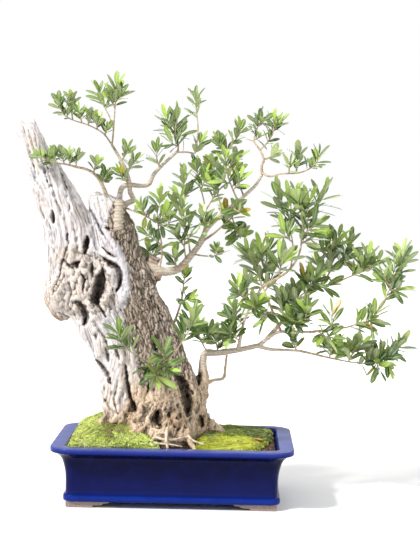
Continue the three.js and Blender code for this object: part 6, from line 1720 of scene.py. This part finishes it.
# ==== Moss ====
# Living cushion moss pressed onto the soil on both sides of the trunk: a soft mound under a dense
# nap of upright tips, bright yellow-green on the left, darker with bright fluffy tufts on the right.
MOSS_GRID = 1.7
MOSS_ROOT = 70
MOSS_EDGE = 26  # the mound is rounded down over this distance from its edge
BARE_SOIL = 2  # without moss the sheet runs this deep or deeper under the soil
MOSS_RANGE = {"moss_left": (-152, 8), "moss_right": (34, 146)}
MOSS_LUMPS = {"moss_left": 1.0, "moss_right": 2.1}
MOSS_TIPS = {"moss_left": 13000, "moss_right": 9500}
MOSS_SLOT = {"moss_left": "moss", "moss_right": "dark_moss"}
MOSS_TONES = {  # from dry to lush, colour
    "moss_left": [(-1.1, (0.20, 0.13, 0.06)), (-0.62, (0.38, 0.40, 0.09)), (-0.1, (0.68, 0.86, 0.17)),
                  (0.6, (0.90, 1.0, 0.34))],
    "moss_right": [(-1.0, (0.10, 0.08, 0.04)), (-0.35, (0.12, 0.18, 0.04)), (0.1, (0.26, 0.36, 0.07)),
                   (0.5, (0.66, 0.70, 0.05))],
}
FRESH_TIP = {"moss_left": (0.90, 1.0, 0.44), "moss_right": (0.74, 0.80, 0.20)}
FRESH_SHARE = 0.22
MAT_SHADE = 0.55  # the mat lies in the shade of its tips
ROOT_STAIN = (-92, -56)  # where the left moss is dry beside the trunk's foot
TIP_LONG, DRY_TIP_LONG = (1.8, 3.4), (1.0, 2.0)
TIP_WIDE = (1.2, 2.1)
TIP_FOOT, TIP_TOP = 0.55, 0.2  # radius of a tip before it is widened


def soft_bump(x, y, reach):
    return math.exp(-(x * x + y * y) / (reach * reach))


def moss_cover(node, x, y):
    """How thick the moss lies at a place, in millimetres; below 0 where there is none."""
    ragged = 9 * noise.noise((x / 24, y / 24, 2)) + 6 * noise.noise((x / 8, y / 8, 5))
    rim = min(SOIL_INSIDE[0] + 2 - abs(x), SOIL_INSIDE[1] + 2 - abs(y)) * 1.6
    if node == "moss_left":
        edge = min(rim, -x - 20 + 0.28 * y + ragged + 26 * math.exp(-((y + 92) / 20) ** 2))
        deep = 15 + 5 * soft_bump(x + 112, y - 34, 40) - 3.5 * soft_bump(x + 60, y + 84, 34)
    else:
        edge = min(rim, x - 40 - 0.15 * y + ragged, 140 - x + ragged + 0.2 * y)
        edge = min(edge, y + 88 - 0.12 * (x - 60) + ragged)
        deep = 9.5 + 3.5 * soft_bump(x - 78, y - 40, 30)
    bare = noise.noise((x / 13, y / 13, 8))  # where birds and rain have worn it thin
    deep -= 5 * max(0, bare - 0.25) / 0.35
    rounded = 1 - (1 - min(1, max(edge, 0) / MOSS_EDGE)) ** 2
    return deep * rounded ** 0.7 - BARE_SOIL if edge > 0 else -1.5 * BARE_SOIL


moss_nap, tree, shader, place = new_finish("moss_mat", 0.95, 0.1)
painted = add_node(tree, "Attribute", attribute_name="tone").outputs["Color"]
fuzz = speckle(tree, place, 900, detail=4)
fuzzy = between(tree, fuzz, (0.5, 0.5, 0.5), (1.3, 1.3, 1.2))
paint(tree, shader, between(tree, 1.0, painted, fuzzy, "MULTIPLY"))
shader.inputs["Sheen Weight"].default_value = 0.3
raise_surface(tree, shader, fuzz, 0.0012, 0.9)

for order, node in enumerate(MOSS_RANGE):
    low_x, high_x = MOSS_RANGE[node]
    moss_bm = bmesh.new()
    bmesh.ops.create_grid(moss_bm, x_segments=round((high_x - low_x) / MOSS_GRID),
                          y_segments=round(2 * SOIL_INSIDE[1] / MOSS_GRID), size=1)
    for vert in moss_bm.verts:
        x, y = inside_tray(mix(low_x, high_x, (vert.co.x + 1) / 2), vert.co.y * SOIL_INSIDE[1])
        lumps = 1.1 * noise.noise((x / 12, y / 12, 5)) + 0.8 * noise.noise((x / 4.5, y / 4.5, 9))
        vert.co = placed(x, y, soil_top(x, y) + moss_cover(node, x, y) + MOSS_LUMPS[node] * lumps)
    for vert in skirt_down(moss_bm):
        vert.co.z = MOSS_ROOT * MM
    close_up(moss_bm, [edge for edge in moss_bm.edges if edge.is_boundary])
    mat = new_piece(node + "_mat", moss_bm)
    points, normals = read_points(mat)
    lush = bumps(points, 20, 31 + order) + 0.5 * bumps(points, 7, 33)
    if node == "moss_left":
        off_stain = np.hypot(points[:, 0] - ROOT_STAIN[0], (points[:, 1] - ROOT_STAIN[1]) * 0.7)
        lush = lush - soft_step(-off_stain, -30, -8)
    else:
        lush = lush + 0.85 * soft_step(-points[:, 1], 12, 52) - 0.1  # lusher and brighter towards the front
    levels, tones = zip(*MOSS_TONES[node])
    tone = np.stack([np.interp(lush, levels, band) for band in zip(*tones)], axis=1)
    keep_tone(mat, tone * MAT_SHADE)
    mat.data.shade_smooth()
    dress(mat, moss_nap, MOSS_SLOT[node], node)

    pick = random.Random(500 + order)
    cover = np.array([moss_cover(node, x, y) for x, y in points[:, :2]])
    tops = np.nonzero((normals[:, 2] > 0.25) & (cover > 0))[0]
    places, tip_tones = [], []
    for _ in range(MOSS_TIPS[node]):
        index = tops[int(pick.random() * len(tops))]
        spot = Vector(points[index]) + Vector((pick.uniform(-1, 1), pick.uniform(-1, 1), -0.4))
        long = pick.uniform(*(TIP_LONG if lush[index] > -0.5 else DRY_TIP_LONG))
        lean = Vector(normals[index]) * 0.5 + Vector((pick.uniform(-0.5, 0.5), pick.uniform(-0.5, 0.5), 1))
        turn = lean.to_track_quat("Z", "Y").to_matrix().to_4x4() @ Matrix.Rotation(pick.uniform(0, 3), 4, "Z")
        size = Matrix.Diagonal((pick.uniform(*TIP_WIDE), pick.uniform(*TIP_WIDE), long, 1))
        places.append(Matrix.Translation(placed(*spot)) @ turn @ size)
        is_fresh = pick.random() < FRESH_SHARE and lush[index] > -0.3
        tip_tones.append(np.array(FRESH_TIP[node] if is_fresh else tone[index]) * pick.uniform(0.45, 1.3))
    tip_bm = bmesh.new()
    bmesh.ops.create_cone(tip_bm, cap_ends=True, segments=3, radius1=TIP_FOOT * MM, radius2=TIP_TOP * MM,
                          depth=MM, matrix=Matrix.Translation((0, 0, 0.5 * MM)))
    tips = scatter(node + "_tips", tip_bm, places)
    per_tip = len(tips.data.vertices) // len(places)
    keep_tone(tips, np.repeat(np.clip(np.array(tip_tones), 0, 0.9), per_tip, axis=0))
    dress(tips, moss_nap, MOSS_SLOT[node], node)

# ==== Grass tuft ====
# A few blades of self-sown grass rooted in the right moss, thin and arching, with a crease down the
# middle and paler towards the tips.
GRASS_AT = (76, -32)
GRASS_RISE = 6  # the blades start this far over the soil, inside the moss
GRASS_BLADES = 15
GRASS_LONG = (11, 21)
GRASS_HALF = 0.75
GRASS_THICK = 0.3
GRASS_TURN = math.tau * 0.382  # from one blade to the next

grass_bm = bmesh.new()
pick = random.Random(51)
for index in range(GRASS_BLADES):
    angle = index * GRASS_TURN + pick.uniform(0, 0.4)
    lean = pick.uniform(0.1, 0.75)
    out = Vector((math.cos(angle), math.sin(angle), 0))
    root = Vector((*GRASS_AT, soil_top(*GRASS_AT) + GRASS_RISE)) + out * pick.uniform(0, 1.6)
    long = pick.uniform(*GRASS_LONG)
    side = Vector((0, 0, 1)).cross(out)
    for vert in bmesh.ops.create_grid(grass_bm, x_segments=2, y_segments=6, size=1)["verts"]:
        across, part = round(vert.co.x), (vert.co.y + 1) / 2
        bend = lean + part * 0.7
        middle = root + (Vector((0, 0, math.cos(bend))) + out * math.sin(bend)) * (long * part)
        half = GRASS_HALF * (1 - part ** 3) * (0.55 + 0.45 * math.sin(min(part * 4, 1.57)))
        vert.co = placed(*(middle + side * (across * half) + out * (-abs(across) * 0.2)))
grass = new_piece("grass_blades", grass_bm)
thicken(grass, GRASS_THICK)

grass_green, tree, shader, place = new_finish("grass_green", 0.5, 0.4)
height = add_node(tree, "SeparateXYZ", {"Vector": place}).outputs["Z"]
blade_green = steps(tree, rescaled(tree, height, 0.088, 0.108), [
    (0.0, (0.10, 0.19, 0.03)), (0.6, (0.24, 0.42, 0.05)), (1.0, (0.50, 0.60, 0.12))])
streak = speckle(tree, place, 500, stretch=(1, 1, 0.1))
paint(tree, shader, between(tree, streak, blade_green, (0.34, 0.46, 0.12)))
dress(grass, grass_green, "moss", "grass_tuft")

# ==== Fallen leaf ====
# One old olive leaf that has dropped from the crown, dried orange. It lies loose on the right moss
# with its edges curled up.
FALLEN_AT = (112, -30)
FALLEN_RISE = 7.1
FALLEN_LONG = 19
FALLEN_HALF = 3.2
FALLEN_THICK = 0.4
FALLEN_WAY = (0.9, -0.4, -0.06)
EDGE_CURL, TIP_CURL = 1.6, 1.2

root = Vector((*FALLEN_AT, soil_top(*FALLEN_AT) + FALLEN_RISE))
along = Vector(FALLEN_WAY).normalized()
side = Vector((0, 0, 1)).cross(along).normalized()
fallen_bm = bmesh.new()
fallen_uv = fallen_bm.loops.layers.uv.new("UVMap")
for vert in bmesh.ops.create_grid(fallen_bm, x_segments=6, y_segments=12, size=1)["verts"]:
    across, part = vert.co.x, (vert.co.y + 1) / 2
    half = FALLEN_HALF * max(0.04, math.sin(math.pi * min(1, part * 1.02)) ** 0.7)
    curl = EDGE_CURL * across * across * half / FALLEN_HALF + TIP_CURL * part * part
    vert.co = placed(*(root + along * (part * FALLEN_LONG) + side * (across * half) + Vector((0, 0, curl))))
    for loop in vert.link_loops:
        loop[fallen_uv].uv = ((across + 1) / 2, part)
fallen = new_piece("fallen_leaf_dry", fallen_bm)
thicken(fallen, FALLEN_THICK)
fallen.data.shade_smooth()

dry_leaf, tree, shader, place = new_finish("dry_leaf", 0.6, 0.3)
spots = speckle(tree, place, 260, detail=4)
dried = steps(tree, spots, [
    (0.3, (0.30, 0.09, 0.02)), (0.5, (0.66, 0.25, 0.035)), (0.75, (0.80, 0.42, 0.08))])
off_rib = off_midrib(tree)
paint(tree, shader, between(tree, rescaled(tree, off_rib, 0.03, 0.08, 0.7, 0.0), dried, (0.80, 0.55, 0.25)))
raise_surface(tree, shader, off_rib, 0.0006, 0.6)
dress(fallen, dry_leaf, "dead_leaf", "fallen_leaf")

# ==== Pebbles ====
# Three pale river pebbles laid on the soil at the right end, rounded and finely pitted by wear.
# Each is the plain solid subdivided and given an uneven skin.
PIT_DEPTH, PIT_SIZE = 0.25, 1.6
PEBBLE_SWELL = 0.1  # makes up for what the rounding takes off

pebble_stone = grained_finish("pebble_stone", 0.8, 0.3, grain=210, detail=6, relief=0.0005, tones=[
    (0.3, (0.38, 0.33, 0.28)), (0.52, (0.62, 0.57, 0.50)), (0.72, (0.78, 0.75, 0.70))])
for number in (1, 2, 3):
    node = f"pebble_{number}"
    stone = new_piece(node + "_worn", merged_copy(node))
    worn = stone.modifiers.new("worn", "SUBSURF")
    worn.levels = worn.render_levels = 3
    settle(stone)
    points, normals = read_points(stone)
    pits = PIT_DEPTH * bumps(points, PIT_SIZE, number) + PEBBLE_SWELL
    move_points(stone, points + normals * pits[:, None])
    stone.data.shade_smooth()
    dress(stone, pebble_stone, "pebble", node)
